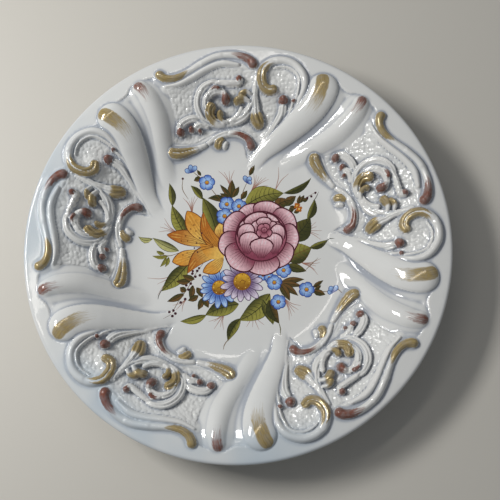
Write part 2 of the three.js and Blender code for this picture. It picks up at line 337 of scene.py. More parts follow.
@dataclass
class Border:
    """The relief that repeats around the well, drawn with x to the right and y outward."""

    repeats: int = 5
    first_angle: float = 80.0
    drawn_radius: float = 200.0
    ground_depth: float = 2.6
    ground_wall: float = 1.7
    step_depth: float = 1.8
    step_wall: float = 1.2
    step_fade: tuple[float, float] = (118.0, 40.0)
    fillet: float = 0.55
    moat_reach: float = 1.1
    tail_lift: float = 0.3
    tail_sink: float = 1.2
    pebble_pitch: float = 3.7
    pebble_height: float = 1.0
    pebble_level: float = 0.35

    ground: list[Points] = field(default_factory=lambda: [
        [(-82, 94), (-62, 99), (-42, 113), (-20, 116), (-9, 95)],
        [(-9, 95), (8, 119), (25, 138), (36, 160), (33, 175)],
        [(33, 175), (11, 187), (-6, 181), (-20, 174), (-47, 172.5), (-61, 165), (-73, 154.5), (-97, 141)],
        [(-97, 141), (-85, 118), (-82, 94)],
    ])
    step: list[Points] = field(default_factory=lambda: [
        [(40, 172), (53, 181), (67, 172), (78, 166), (90, 166)],
        [(90, 166), (99, 160), (108, 150), (106, 137)],
        [(106, 137), (88, 118), (66, 108), (20, 60), (0, 60), (-10, 90)],
        [(-10, 90), (3, 111), (24, 136), (36, 160), (40, 172)],
    ])
    hollows: list[Hollow] = field(default_factory=lambda: [
        Hollow([(78, 164), (74, 148), (63, 131), (45, 116), (28, 102), (12, 86)], 24, 2.2,
               (0.8, 1, 1, 0.8, 0.4)),
        Hollow([(104, 146), (92, 128), (76, 115), (60, 106)], 16, 1.6, (0.8, 1, 1, 0.7)),
    ])

    def strips(self) -> list[Strip]:
        """Every raised strip of one repeat, lowest first."""
        return [
            # The outer rail and its lower band, with a gold bead at one end and a maroon head at the other.
            Strip([(-98, 142), (-85, 147), (-72.5, 156.5), (-60, 167), (-46.5, 174.5), (-29, 176)], 7.4, 4.0,
                  (0.3, 0.8, 1, 1, 1, 0.4), moat=0.9),
            Strip([(-107, 156), (-101, 150.5), (-90, 152), (-79, 159), (-66, 171), (-54, 180), (-40, 184.5),
                   (-28, 184.5), (-19, 180.5), (-16, 174)], 8.0, 4.5, (1.0, 0.9, 0.9, 1, 1, 1, 1, 1.1),
                  moat=0.9),
            Strip([(-107, 157), (-104, 152), (-97, 150), (-88, 152.5), (-78, 160), (-68, 169)], 8.0, 4.6,
                  (1.25, 1.0, 0.9, 0.7, 0.5), feather=0.06, painted=(0.0, 0.95), **GOLD_PAINT),
            Strip([(-48, 183), (-36, 185), (-25, 184), (-18, 180), (-16, 173.5)], 8.8, 4.8,
                  (0.6, 0.8, 1.0, 1.2),
                  feather=0.06, painted=(0.1, 1.0), **MAROON_PAINT),
            # The C-scroll, its inner band and its gold crescent.
            Strip([(8, 159), (1, 158), (-5.5, 164), (-6.5, 175), (0, 183.5), (11, 187), (23, 184.5),
                   (33, 175),
                   (36, 162), (32, 149), (24, 136), (13, 123.5), (3, 111.5), (-7, 96)], 8.5, 4.8,
                  (0.8, 1.0, 1, 1.0, 0.95, 0.8, 0.7, 0.6, 0.4, 0.08), sharpness=0.5),
            Strip([(3, 178), (11, 181), (20, 180), (28, 174), (30.5, 165), (29, 152), (21, 138), (9, 123)],
                  4.0, 3.4,
                  (0.6, 1, 1, 1, 0.8, 0.5), **THIN),
            Strip([(10, 160.5), (2, 157.5), (-5, 162), (-7, 172), (-3, 180), (4, 184.5)], 9.4, 5.9,
                  (0.9, 1.0, 1.1, 0.9, 0.5), crown=Crown.TWIN, painted=(0.0, 0.95), feather=0.15,
                  **GOLD_PAINT),
            # The inner rail: a gold comma, a rising line and a maroon curl, with a gold knob under it.
            Strip([(-50, 101.5), (-43, 108), (-34, 113.5), (-22, 116), (-12, 113.5), (-7, 108), (-9, 103)],
                  7.2, 4.4,
                  (0.5, 0.8, 0.9, 1, 1.1, 1.2), crown=Crown.TWIN),
            Strip([(-32, 114), (-22, 116), (-12, 113.5), (-7, 108), (-9, 103)], 7.4, 5.4,
                  (0.6, 0.8, 1.0, 1.3),
                  feather=0.15, painted=(0.12, 1), **MAROON_PAINT),
            Strip([(-86, 88), (-80, 85), (-72, 88), (-61, 94), (-50, 101)], 10.5, 4.6,
                  (1.0, 1.1, 0.8, 0.6, 0.4)),
            Strip([(-86, 88.5), (-80, 85.5), (-72, 88), (-63, 92.5), (-57, 96)], 10.0, 6.0,
                  (1.05, 1.1, 0.8, 0.5),
                  crown=Crown.TWIN, painted=(0, 0.93), feather=0.2, **GOLD_PAINT),
            Strip([(-35, 110), (-39, 105), (-39, 98)], 8.6, 5.4, (0.5, 1.0, 0.9), crown=Crown.TWIN,
                  **GOLD_PAINT),
            Strip([(-31, 108), (-33, 103), (-32, 99)], 5.5, 3.6, (0.6, 1.0, 0.9)),
            # The main stem and its low leaves.
            Strip([(-13, 170), (-11, 156), (-13, 142), (-20, 131), (-33, 124), (-46, 120.5), (-60, 121)], 8.4,
                  4.6,
                  (0.4, 0.8, 1, 1.1, 1.0, 0.9, 0.6), **LEAFY),
            Strip([(-44, 120), (-56, 122), (-68, 120), (-77, 113), (-78, 105)], 8.0, 4.8,
                  (0.5, 0.9, 1, 1, 0.9), **LEAFY),
            Strip([(-50, 117), (-59, 117), (-66, 111)], 6.8, 4.8, (0.5, 1.0, 0.9), **LEAFY),
            Strip([(-78, 110), (-76, 103)], 9.0, 7.0, (0.9, 1.0), **MAROON_BEAD),
            Strip([(-70, 112.5), (-64, 110)], 7.0, 6.4, (1.0, 0.9), **MAROON_BEAD),
            Strip([(-60, 114), (-58, 110)], 5.0, 5.6, (0.9, 1.0), **MAROON_BEAD),
            # The roundel: curled leaves about a gold shell, with maroon beads at its mouth.
            Strip([(-44, 119), (-57, 123), (-64, 134), (-62, 147), (-52, 155), (-41, 155)], 9.0, 4.8,
                  (0.5, 1, 1, 1, 0.9, 0.5), **LEAFY),
            Strip([(-42, 121), (-31, 125), (-24, 132), (-21, 141)], 6.0, 4.8, (0.7, 1.1, 0.8), **LEAFY),
            Strip([(-46, 122), (-54, 128), (-57, 138), (-52, 146.5), (-43, 149), (-36, 144)], 7.4, 6.0,
                  (0.6, 1, 1, 1, 0.9, 0.8), **LEAFY),
            Strip([(-34, 122), (-44, 121.5), (-51, 126), (-51.5, 133), (-47, 137)], 9.4, 7.4,
                  (0.5, 0.9, 1.1, 1.0),
                  **LEAFY, **GOLD_END),
            Strip([(-31, 124), (-38, 124), (-42, 129), (-39.5, 133.5)], 6.6, 7.2, (0.5, 0.9, 1.1), **ON,
                  **GOLD_END),
            Strip([(-56, 145.5), (-50, 150.5), (-43, 149.5)], 5.4, 6.8, (0.6, 1, 1.2), painted=(0.25, 1),
                  feather=0.4,
                  **MAROON_BEAD),
            Strip([(-41.5, 149), (-38, 144), (-40, 138.5)], 8.0, 7.4, (0.7, 1.15, 1.0), painted=(0.2, 1),
                  feather=0.4, **MAROON_BEAD),
            # Near leaves beside the stem, the bud and its stalk.
            Strip([(-13, 151), (-20, 152.5), (-27, 147.5)], 6.4, 6.4, (0.5, 1.0, 1.0), **ON, **GOLD_END),
            Strip([(-13, 145), (-22, 146.5), (-31, 141)], 8.6, 7.2, (0.4, 0.9, 1.1), **ON, **GOLD_END),
            Strip([(-54, 149), (-47, 156), (-36, 158), (-28, 160), (-27.5, 166)], 6.0, 4.8,
                  (0.5, 0.9, 1.0, 1.1), **LEAFY),
            Strip([(-27, 160), (-29, 166)], 8.0, 6.4, (0.9, 1), painted=(0.1, 1), feather=0.5, **MAROON_BEAD),
            # The hanging leaf with its gold end.
            Strip([(-11, 158), (-9.5, 146), (-6, 134), (-1, 126)], 9.0, 5.0, (0.4, 0.8, 1.1, 0.8), **LEAFY),
            Strip([(-9, 142), (-6, 133), (0, 125)], 12.0, 6.8, (0.5, 1.1, 0.8), **LEAFY, **GOLD_END),
            # Stalks and maroon heads inside the C-scroll.
            Strip([(0, 110), (11, 124), (18, 137), (18, 149)], 10.0, 4.8, (0.25, 0.7, 1.0, 0.8), **LEAFY),
            Strip([(6, 115), (19, 130), (26, 142), (27, 151)], 4.4, 4.6, (0.4, 1, 1, 0.9), **THIN),
            Strip([(21, 147), (14, 155)], 10.5, 7.4, (0.9, 1.0), **MAROON_BEAD),
            Strip([(27.5, 149), (28, 153)], 5.4, 5.8, (1, 1), **MAROON_BEAD),
            # The narrow ridge and the swirling lobe beside it.
            Strip([(94, 163), (89, 147), (76, 129), (58, 115), (38, 101), (18, 86)], 20.0, 4.8,
                  (0.7, 0.95, 1, 0.9, 0.8, 0.7, 0.6), (0.9, 1, 1, 0.85, 0.55, 0.25, 0.0), moat=0.0,
                  sharpness=1.0),
            Strip([(52, 179), (54, 165), (48, 149), (35, 133), (20, 118), (6, 103), (-3, 87), (-7, 76)], 28.0,
                  7.5,
                  (0.95, 1.05, 1, 0.92, 0.8, 0.68, 0.55, 0.45, 0.4),
                  (0.6, 0.8, 0.95, 1, 0.9, 0.7, 0.42, 0.16, 0.0), moat=0.9, sharpness=0.55),
        ]

    def streaks(self) -> list[Strip]:
        """Brushed colour that lies on the lobe and the ridge without standing up."""
        return [
            Strip([(51, 180), (52.5, 168), (50, 152), (43, 138)], 12.5, 0.0, (1.0, 1.05, 1.0, 0.8),
                  painted=(0.0, 0.8),
                  feather=0.06, **GOLD_PAINT),
            Strip([(94, 164), (91, 153), (84, 141)], 9.0, 0.0, (1.1, 1.0, 0.7), painted=(0.0, 0.75),
                  feather=0.07, **MAROON_PAINT),
        ]


@dataclass
class Carving:
    """What is known of each place on the carved face. Heights and distances are millimetres."""

    height: np.ndarray
    gold: np.ndarray
    maroon: np.ndarray
    pebbled: np.ndarray
    lane: np.ndarray
    run: np.ndarray

    def lay(self, strip: Strip, rows: np.ndarray, local: np.ndarray, base: np.ndarray,
            border: Border) -> None:
        """Raise one strip, and paint it.

        Args:
            strip: The strip.
            rows: Which places are near it.
            local: Those places in the border's drawing.
            base: The plain face's height there.
            border: The border, for its sizes.
        """
        away, half, share, side, length = strip.measure(local)
        lift = along(strip.lifts or tuple(math.sqrt(w) for w in strip.widths), share)
        sunk = border.ground_depth if strip.on_ground else 0.0
        weight = (away < 1.1).astype(float)
        if strip.height > 0:
            moat = strip.moat * np.minimum(lift * 1.3, 1.0)
            outside = np.maximum(away - 1.0, 0.0) * half
            old = self.height[rows] - moat * np.exp(-((outside / border.moat_reach) ** 2))
            shape = strip.profile(away, side, half)
            top = base - sunk + (strip.height + sunk) * lift * np.maximum(shape, 0.0) + np.minimum(shape, 0.0)
            faint = 1.0 - smoothstep(lift / border.tail_lift)
            self.height[rows] = soft_max(old, top - border.tail_sink * faint, border.fillet)
            weight = smoothstep((top - old + 0.5) / 0.8) * weight
            self.pebbled[rows] *= 1.0 - weight
        starts, ends = strip.painted
        into = (1.0 - away) * half + 0.25
        if starts > 0:
            into = np.minimum(into, (share - starts) * length * strip.feather)
        if ends < 1:
            into = np.minimum(into, (ends - share) * length * strip.feather)
        inked = np.clip(into, UNPAINTED, -UNPAINTED)
        for stored, paint in ((self.gold, Paint.GOLD), (self.maroon, Paint.MAROON)):
            fresh = inked if strip.paint is paint else UNPAINTED
            if strip.height > 0:
                stored[rows] += (fresh - stored[rows]) * weight
            else:
                stored[rows] = np.maximum(stored[rows], fresh)
        if strip.paint is not Paint.NONE:
            taken = weight > 0.5
            self.lane[rows[taken]] = side[taken]
            self.run[rows[taken]] = share[taken] * length


class Carver:
    """Works out the carved face's height and painted places anywhere on it."""

    def __init__(self, turning: Turning, border: Border) -> None:
        """Keep the two and draw the outlines of the sunk grounds and steps."""
        self.turning = turning
        self.border = border
        self.scale = turning.rim_radius / border.drawn_radius
        self.ground = np.vstack([spline(edge)[0][:-1] for edge in border.ground])
        self.step = np.vstack([spline(edge)[0][:-1] for edge in border.step])
        self.strips = border.strips()
        self.streaks = border.streaks()

    def drawn(self, at: np.ndarray, repeat: int) -> np.ndarray:
        """Places on the plate, one a row, as places in one repeat of the border's drawing."""
        angle = math.radians(self.border.first_angle - 360.0 / self.border.repeats * repeat)
        x, y = math.cos(angle), math.sin(angle)
        return np.column_stack([at[:, 0] * y - at[:, 1] * x, at[:, 0] * x + at[:, 1] * y]) / self.scale

    @staticmethod
    def near(local: np.ndarray, outline: np.ndarray, margin: float) -> np.ndarray:
        """Which places lie in the box about an outline, widened by a margin."""
        low, high = outline.min(axis=0) - margin, outline.max(axis=0) + margin
        return np.flatnonzero(((local > low) & (local < high)).all(axis=1))

    @staticmethod
    def depth_in(outline: np.ndarray, local: np.ndarray) -> np.ndarray:
        """How far inside an outline each place is, negative outside."""
        return gap_to(outline, local) * np.where(inside(outline, local), 1.0, -1.0)

    def pebbles(self, at: np.ndarray) -> np.ndarray:
        """Rounded pebbles of a punched ground, one in each cell of a seeded, uneven grid.

        Args:
            at: The places, one a row.

        Returns:
            Height shares from 0 between pebbles to 1 on them.
        """
        pitch = self.border.pebble_pitch
        cell = np.floor(at / pitch)
        shape = np.zeros(len(at))
        for i in (-1, 0, 1):
            for j in (-1, 0, 1):
                own = cell + (i, j)
                seed = np.sin(own @ (12.9898, 78.233)) * 43758.5453
                across, down, size = (seed * k - np.floor(seed * k) for k in (1.0, 7.31, 3.7))
                middle = (own + 0.2 + 0.6 * np.column_stack([across, down])) * pitch
                gap = np.linalg.norm(middle - at, axis=1) / ((0.55 + 0.22 * size) * pitch)
                shape = np.maximum(shape, np.clip(1.0 - gap**2, 0.0, 1.0))
        return shape

    def carve(self, at: np.ndarray, stippled: bool = True) -> Carving:
        """Work out the carving at some places.

        Args:
            at: The places on the plate, one a row.
            stippled: Whether the sunk grounds get their pebbles.

        Returns:
            The carving there.
        """
        border = self.border
        radius = np.linalg.norm(at, axis=1)
        base = self.turning.face(radius)
        plain, none = np.zeros(len(at)), np.full(len(at), UNPAINTED)
        carving = Carving(base.copy(), none, none.copy(), plain, plain.copy(), plain.copy())
        laid = [self.drawn(at, repeat) for repeat in range(border.repeats)]
        for local in laid:
            rows = self.near(local, self.step, 3.0)
            depth = smoothstep(self.depth_in(self.step, local[rows]) / border.step_wall + 0.5)
            starts, over = border.step_fade
            fade = smoothstep((radius[rows] / self.scale - starts) / over)
            carving.height[rows] -= border.step_depth * depth * fade
            for hollow in border.hollows:
                sink = Strip(hollow.points, hollow.width, 0.0, hollow.widths)
                rows = self.near(local, np.array(hollow.points, dtype=float), hollow.width)
                away, _, share, _, _ = sink.measure(local[rows])
                fade = smoothstep((1.0 - share) / 0.5) * np.cos(np.clip(away, 0, 1) * math.pi / 2) ** 2
                carving.height[rows] -= hollow.depth * fade
        for local in laid:
            rows = self.near(local, self.ground, 3.0)
            into = self.depth_in(self.ground, local[rows])
            carving.height[rows] -= border.ground_depth * smoothstep(into / border.ground_wall + 0.35)
            carving.pebbled[rows] = np.maximum(carving.pebbled[rows], smoothstep((into - 0.8) / 1.2))
        if stippled:
            stones = np.flatnonzero(carving.pebbled)
            lift = (self.pebbles(at[stones]) - border.pebble_level) * border.pebble_height
            carving.height[stones] += lift * carving.pebbled[stones]
        for local in laid:
            for strip in [*self.strips, *self.streaks]:
                rows = self.near(local, np.array(strip.points, dtype=float), strip.reach())
                if len(rows):
                    carving.lay(strip, rows, local[rows], base[rows], border)
        return carving


AROUND_A_PLACE = ((0, 1), (0, -1), (1, 0), (-1, 0), (1, -1), (-1, 1))


class Lattice:
    """A three-way grid of places over the face, thinned where the face is smooth."""

    settling: ClassVar[int] = 14  # How many rounds level the surroundings that hollows are measured from.
    stony: ClassVar[float] = 0.35

    def __init__(self, carver: Carver, spacing: float) -> None:
        """Lay the grid at a spacing and carve it."""
        self.spacing = spacing
        self.pitch = spacing * math.sqrt(3) / 2.0
        radius = carver.turning.face_radius
        rows = int(radius / (spacing * math.sqrt(3) / 2)) + 1
        columns = int(radius / spacing + rows / 2) + 1
        self.j, self.i = np.mgrid[-rows : rows + 1, -columns : columns + 1]
        x = (self.i + self.j / 2.0) * spacing
        y = self.j * spacing * math.sqrt(3) / 2.0
        self.kept = np.hypot(x, y) < radius - spacing * 0.6
        self.at = np.stack([x, y], axis=-1)
        self.height = carver.turning.face(np.hypot(x, y))
        carving = carver.carve(self.at[self.kept], stippled=False)
        self.height[self.kept] = carving.height
        self.pebbled = np.zeros(self.height.shape, dtype=bool)
        self.pebbled[self.kept] = carving.pebbled > self.stony
        level = self.height
        for _ in range(self.settling):
            level = sum(np.roll(level, shift,
                                axis=(0, 1)) for shift in AROUND_A_PLACE) / 6.0 * 0.86 + level * 0.14
        self.hollow = level - self.height

    def hollow_at(self, at: np.ndarray) -> np.ndarray:
        """How far places, one a row, lie below their surroundings, negative on crests."""
        down = at[:, 1] / self.pitch
        across = at[:, 0] / self.spacing - down / 2.0
        row = np.rint(down).astype(int) - self.j[0, 0]
        column = np.rint(across).astype(int) - self.i[0, 0]
        return self.hollow[np.clip(row, 0, self.j.shape[0] - 1), np.clip(column, 0, self.i.shape[1] - 1)]

    def bend(self, reach: int) -> np.ndarray:
        """How far the face leaves a straight line between places this many steps away."""
        most = np.zeros(self.height.shape)
        for down, across in ((0, 1), (1, 0), (1, -1)):
            ahead = np.roll(self.height, (-down * reach, -across * reach), axis=(0, 1))
            behind = np.roll(self.height, (down * reach, across * reach), axis=(0, 1))
            most = np.maximum(most, np.abs(ahead + behind - 2.0 * self.height))
        return most

    @staticmethod
    def spread(mask: np.ndarray, steps: int) -> np.ndarray:
        """Widen a mask by some steps of the grid."""
        wide = mask
        for _ in range(steps):
            wide = wide | sum(np.roll(wide, shift, axis=(0, 1)) for shift in AROUND_A_PLACE).astype(bool)
        return wide

    def thinned(self, fine_bend: float, coarse_bend: float) -> np.ndarray:
        """The places that the mesh needs.

        Args:
            fine_bend: Above this bend every place is kept.
            coarse_bend: Above this bend every second place is kept.

        Returns:
            The places, one a row.
        """
        fine = self.spread((self.bend(1) > fine_bend) & self.kept, 1) | self.pebbled
        middle = self.spread(((self.bend(2) > coarse_bend) & self.kept) | fine, 2)
        second = (self.i % 2 == 0) & (self.j % 2 == 0)
        fourth = (self.i % 4 == 0) & (self.j % 4 == 0)
        chosen = self.kept & (fine | (middle & second) | fourth)
        LOG.info("lattice: %d fine, %d chosen of %d", fine.sum(), chosen.sum(), self.kept.sum())
        return self.at[chosen]


def linear(*screen: int) -> Triple:
    """A colour in a screen's steps from 0 to 255, as the linear light that shaders use."""
    return tuple(((step / 255.0 + 0.055) / 1.055) ** 2.4 for step in screen)


class Pigment(Enum):
    """The colours of the painted bouquet."""

    LEAF_SHADE = linear(36, 40, 22)
    LEAF_DEEP = linear(58, 60, 28)
    LEAF = linear(86, 82, 36)
    LEAF_LIGHT = linear(146, 142, 66)
    LEAF_PALE = linear(178, 176, 116)
    BROWN = linear(104, 76, 38)
    RUST = linear(150, 100, 80)
    ROSE_LINE = linear(74, 24, 38)
    ROSE_SHADE = linear(132, 62, 82)
    ROSE = linear(186, 124, 138)
    ROSE_LIGHT = linear(222, 182, 190)
    ORANGE_LINE = linear(104, 54, 22)
    ORANGE_SHADE = linear(170, 98, 32)
    ORANGE = linear(204, 140, 54)
    CREAM = linear(228, 188, 98)
    BLUE_LINE = linear(44, 62, 130)
    BLUE = linear(78, 116, 192)
    BLUE_LIGHT = linear(158, 190, 230)
    LILAC_LINE = linear(76, 58, 88)
    LILAC = linear(112, 88, 130)
    LILAC_LIGHT = linear(208, 196, 214)
    YELLOW = linear(208, 160, 48)
    YELLOW_SHADE = linear(134, 88, 24)
    BERRY = linear(66, 34, 42)
    WHITE = linear(226, 228, 232)


@dataclass(frozen=True)
class Dab:
    """One painted shape, shaded from its root to its tip. Millimetres on the plate."""

    outline: np.ndarray
    root: Place
    tip: Place
    near: Pigment
    far: Pigment
    cover: float = 1.0

    def shade(self, at: np.ndarray) -> np.ndarray:
        """Red, green, blue and cover at some places, one a row."""
        way = np.subtract(self.tip, self.root)
        share = smoothstep((at - self.root) @ way / max(way @ way, TINY))[:, None]
        colour = np.array(self.near.value) * (1.0 - share) + np.array(self.far.value) * share
        return np.column_stack([colour, np.full(len(at), self.cover)])


def band(points: Points, width: float, widths: Shares, spacing: float = 2.5) -> np.ndarray:
    """The outline of a brush stroke along a curve, its width in shares spread evenly along it."""
    middle, run = spline(points, spacing)
    heading = headings(middle)
    side = np.column_stack([-heading[:, 1], heading[:, 0]])
    half = width / 2.0 * along(widths, run / run[-1])[:, None]
    return np.vstack([middle + side * half, (middle - side * half)[::-1]])


def polar(at: Place, reach: float, degrees: float) -> Place:
    """The place at a distance and in a direction from another."""
    lean = math.radians(degrees)
    return at[0] + reach * math.cos(lean), at[1] + reach * math.sin(lean)


class Growth:
    """The middle line of a petal or a leaf."""

    def __init__(self, root: Place, tip: Place, bend: float = 0.0) -> None:
        """Run it from its root to its tip, leaning left by a share of its length."""
        self.start, self.end = np.array(root, dtype=float), np.array(tip, dtype=float)
        self.way = self.end - self.start
        self.length = float(np.linalg.norm(self.way))
        self.ahead = self.way / max(self.length, TINY)
        self.side = np.array([-self.ahead[1], self.ahead[0]])
        self.bend = bend

    def at(self, share: float | np.ndarray, aside: float = 0.0) -> np.ndarray:
        """The place at a share of its length, some way to its left."""
        share = np.asarray(share, dtype=float)[..., None]
        lean = aside + 4.0 * share * (1.0 - share) * self.bend * self.length
        return self.start + share * self.way + lean * self.side

    def outline(self, width: float, full: float, blunt: float) -> np.ndarray:
        """Its outline.

        Args:
            width: Its greatest width.
            full: Above 1 it is widest beyond its middle, below 1 before it.
            blunt: Near 0 its ends are blunt, at 1 they are pointed.

        Returns:
            The outline's points in order.
        """
        steps = max(5, int(self.length / 2.2))
        turn = (1.0 - np.cos(np.linspace(0.0, math.pi, steps + 1))) / 2.0
        half = (np.sin(math.pi * turn**full) ** blunt * width / 2.0)[:, None]
        middle = self.at(turn)
        return np.vstack([middle + self.side * half, (middle - self.side * half)[-2:0:-1]])


class Bouquet:
    """The painted bouquet of generic flowers and leaves, laid from the lowest dab up."""

    radius: float = 101.0

    def __init__(self) -> None:
        """Paint everything, the farthest first."""
        self.dabs: list[Dab] = []
        self.chance = np.random.default_rng(7)
        self.sprigs()
        self.leaves()
        self.twigs()
        self.blue_flowers()
        self.daisies()
        self.lily()
        self.peony()

    def fill(self, outline: np.ndarray, near: Pigment, far: Pigment, root: Place, tip: Place,
             cover: float = 1.0) -> None:
        """Lay one dab."""
        self.dabs.append(Dab(outline, root, tip, near, far, cover))

    def line(self, points: Points, width: float, colour: Pigment, widths: Shares = (0.5, 1.0, 0.35),
             cover: float = 0.92) -> None:
        """Draw one brush line."""
        self.fill(band(points, width, widths), colour, colour, points[0], points[-1], cover)

    def dot(self, at: Place, radius: float, colour: Pigment, far: Pigment | None = None) -> None:
        """Touch one round dot, shaded downward where a second colour is given."""
        turns = np.linspace(0.0, FULL_TURN, max(6, int(radius * 2.4)), endpoint=False)
        outline = np.column_stack([np.cos(turns), np.sin(turns)]) * radius + at
        self.fill(outline, colour, far or colour, (at[0], at[1] + radius), (at[0], at[1] - radius))

    def petal(self, root: Place, tip: Place, width: float, near: Pigment, far: Pigment, line: Pigment,
              bend: float = 0.0, full: float = 1.5, blunt: float = 0.6, veins: int = 0, edge: float = 0.9,
              hidden: float = 0.1, gleam: Pigment = Pigment.WHITE) -> None:
        """Paint a petal with its darker outline and veins.

        Args:
            root: Where it grows from.
            tip: Its far end.
            width: Its greatest width.
            near: Its colour at the root.
            far: Its colour at the tip.
            line: The colour of its outline and veins.
            bend: How far its middle leans left.
            full: Where it is widest.
            blunt: How blunt its ends are.
            veins: How many fine lines fan out from the root.
            edge: The width of its outline.
            hidden: The share of its length that others cover.
            gleam: The colour of its lights.
        """
        growth = Growth(root, tip, bend)
        reach = hidden + 0.85 * (1.0 - hidden)
        lit = (growth.start + growth.way * hidden, growth.start + growth.way * reach)
        for grow, colours, ends in ((edge, (line, line), (root, tip)), (-edge, (near, far), lit)):
            longer = Growth(root, tuple(growth.end + growth.ahead * grow / 2), bend)
            self.fill(longer.outline(width + grow, full, blunt), *colours, *ends)
        for k in range(veins):
            lean = (k + 0.5) / veins * 2.0 - 1.0
            reach = hidden + (1.0 - hidden) * (0.62 + 0.2 * self.chance.random() - 0.2 * abs(lean))
            places = ((hidden, 0.16), ((hidden + reach) / 2, 0.3), (reach, 0.38))
            self.line([growth.at(share, lean * width * fan) for share, fan in places], 0.8, line,
                      (1.0, 0.7, 0.2), 0.6)
        for k in range(veins // 2):
            lean = (k + 1.0) / (veins // 2 + 1.0) * 2.0 - 1.0
            places = ((hidden + (1.0 - hidden) * share, lean * width * fan) for share,
                      fan in ((0.66, 0.26), (0.9, 0.3)))
            self.line([growth.at(*place) for place in places], 1.4, gleam, (0.3, 1.0, 0.4), 0.4)

    def leaf(self, root: Place, tip: Place, width: float, bend: float = 0.0,
             light: Pigment = Pigment.LEAF_LIGHT,
             shade: Pigment = Pigment.LEAF_SHADE, veins: bool = True) -> None:
        """Paint a leaf: a light half, a dark half, a midrib and side veins.

        Args:
            root: Where it grows from.
            tip: Its far end.
            width: Its greatest width.
            bend: How far its middle leans left.
            light: The colour of its lit half.
            shade: The colour of its outline, midrib and veins.
            veins: Whether it has side veins.
        """
        growth = Growth(root, tip, bend)
        left = growth.side * width
        self.fill(growth.outline(width + 1.0, 0.85, 0.95), shade, shade, root, tip)
        self.fill(growth.outline(width, 0.85, 0.95), Pigment.LEAF_DEEP, light, growth.start - left * 0.35,
                  growth.start + left * 0.4)
        broad = width > 8
        if veins and broad:
            for place in np.arange(0.2, 0.82, 4.6 / growth.length):
                at = growth.at(place)
                half = math.sin(math.pi * place**0.85) * width / 2.0
                ahead = growth.ahead * half
                for hand in (-1.0, 1.0):
                    out = at + ahead * 0.62 + growth.side * hand * half * 0.8
                    self.line([at, (at + out) / 2.0 - ahead * 0.12, out], 0.7, shade, (0.9, 0.9, 0.2), 0.7)
        rib = growth.at(np.linspace(0.0, 1.0, 7))
        self.line(list(rib), 0.9 if broad else 0.6, shade, (1.0, 0.9, 0.5))

    def sprigs(self) -> None:
        """Fine rust-coloured grass at the bouquet's edge."""
        for root, tip, blades in (
            ((-46, 40), (-48, 56), 6), ((12, 62), (24, 78), 7), ((-8, 66), (-13, 84), 4),
            ((60, 22), (80, 22), 5),
            ((62, -10), (80, -14), 5), ((44, -44), (56, -60), 5), ((14, -56), (18, -76), 4),
            ((-12, -58), (-22, -74), 5),
            ((-60, 20), (-76, 28), 4), ((-60, -22), (-84, -34), 3), ((36, 64), (44, 84), 2),
            ((-50, -46), (-60, -57), 3),
        ):
            start, way = np.array(root, dtype=float), np.subtract(tip, root)
            side = np.array([-way[1], way[0]])
            for k in range(blades):
                lean = (k + 0.5) / blades - 0.5
                reach = 0.72 + 0.35 * self.chance.random()
                middle = start + way * reach * 0.55 + side * lean * 0.35
                end = start + way * reach + side * lean * 1.1
                self.line([root, middle, end], 0.9, Pigment.RUST, (1.0, 0.8, 0.3), 0.8)

    def leaves(self) -> None:
        """The broad leaves around the flowers, and the slender ones and stalks that trail from them."""
        pale, light, green = Pigment.LEAF_PALE, Pigment.LEAF_LIGHT, Pigment.LEAF
        brown, dark = Pigment.BROWN, Pigment.LEAF_SHADE
        for row in (
            ((45, 47), (56, 57), 8, 0.05, brown), ((34, 44), (50, 53), 11, 0.1, brown),
            ((5, 46), (44, 60), 21, 0.10), ((44, 60), (71, 75), 6, -0.12), ((-50, 16), (-66, 48), 12, 0.05),
            ((-65.5, 47), (-69, 70), 6.5, -0.05), ((-20, 14), (-36, 56), 17, -0.04, light, dark, False),
            ((-36, 54), (-48, 68), 6, -0.06), ((-58, 2), (-84, 15), 8, 0.06, pale),
            ((-84, 14), (-98, 16), 5, 0.2, pale), ((-48, -10), (-74, -38), 14, 0.03),
            ([(-73, -36), (-76, -41), (-77, -46)], 1.0, dark), ((1, -50), (-31, -61), 16, -0.05),
            ((-30, -61), (-55, -67), 7, 0.08), ((31, -40), (1, -66), 18, 0.10),
            ((3, -64), (-9, -86), 9, -0.08),
            ([(-8, -84), (-12, -89), (-13, -94)], 1.0, brown), ((24, -46), (34, -70), 12, 0.08),
            ((30, -46), (40, -69), 10, -0.08, brown), ([(39, -67), (41, -73), (41, -81)], 1.0, green),
            ((50, 12), (70, 35), 19, -0.06, green), ((67, 33), (74, 54), 7, -0.1),
            ([(73, 52), (76, 56), (78, 61)], 0.9, dark), ((46, -6), (71, 5), 20, 0.02, light, brown),
            ((69, 5), (87, 13), 6, -0.08), ([(85, 12), (89, 14), (93, 14)], 0.9, dark),
            ((46, -12), (66, -18), 8, 0.0, green), ((40, -30), (64, -26), 6, 0.04, brown),
            ((40, -30), (62, -33), 5, 0.04, brown), ((40, -30), (58, -42), 6, 0.04, brown),
            ((40, -30), (50, -47), 7, 0.04, brown), ((-12, 52), (-31, 55), 6, -0.1, brown),
        ):
            (self.line if isinstance(row[0], list) else self.leaf)(*row)

    def leaflets(self, bend: float, light: Pigment, shade: Pigment,
                 *grown: tuple[Place, Place, float]) -> None:
        """Paint small leaves without side veins, each with its root, tip and width."""
        for root, tip, width in grown:
            self.leaf(root, tip, width, bend, light, shade, False)

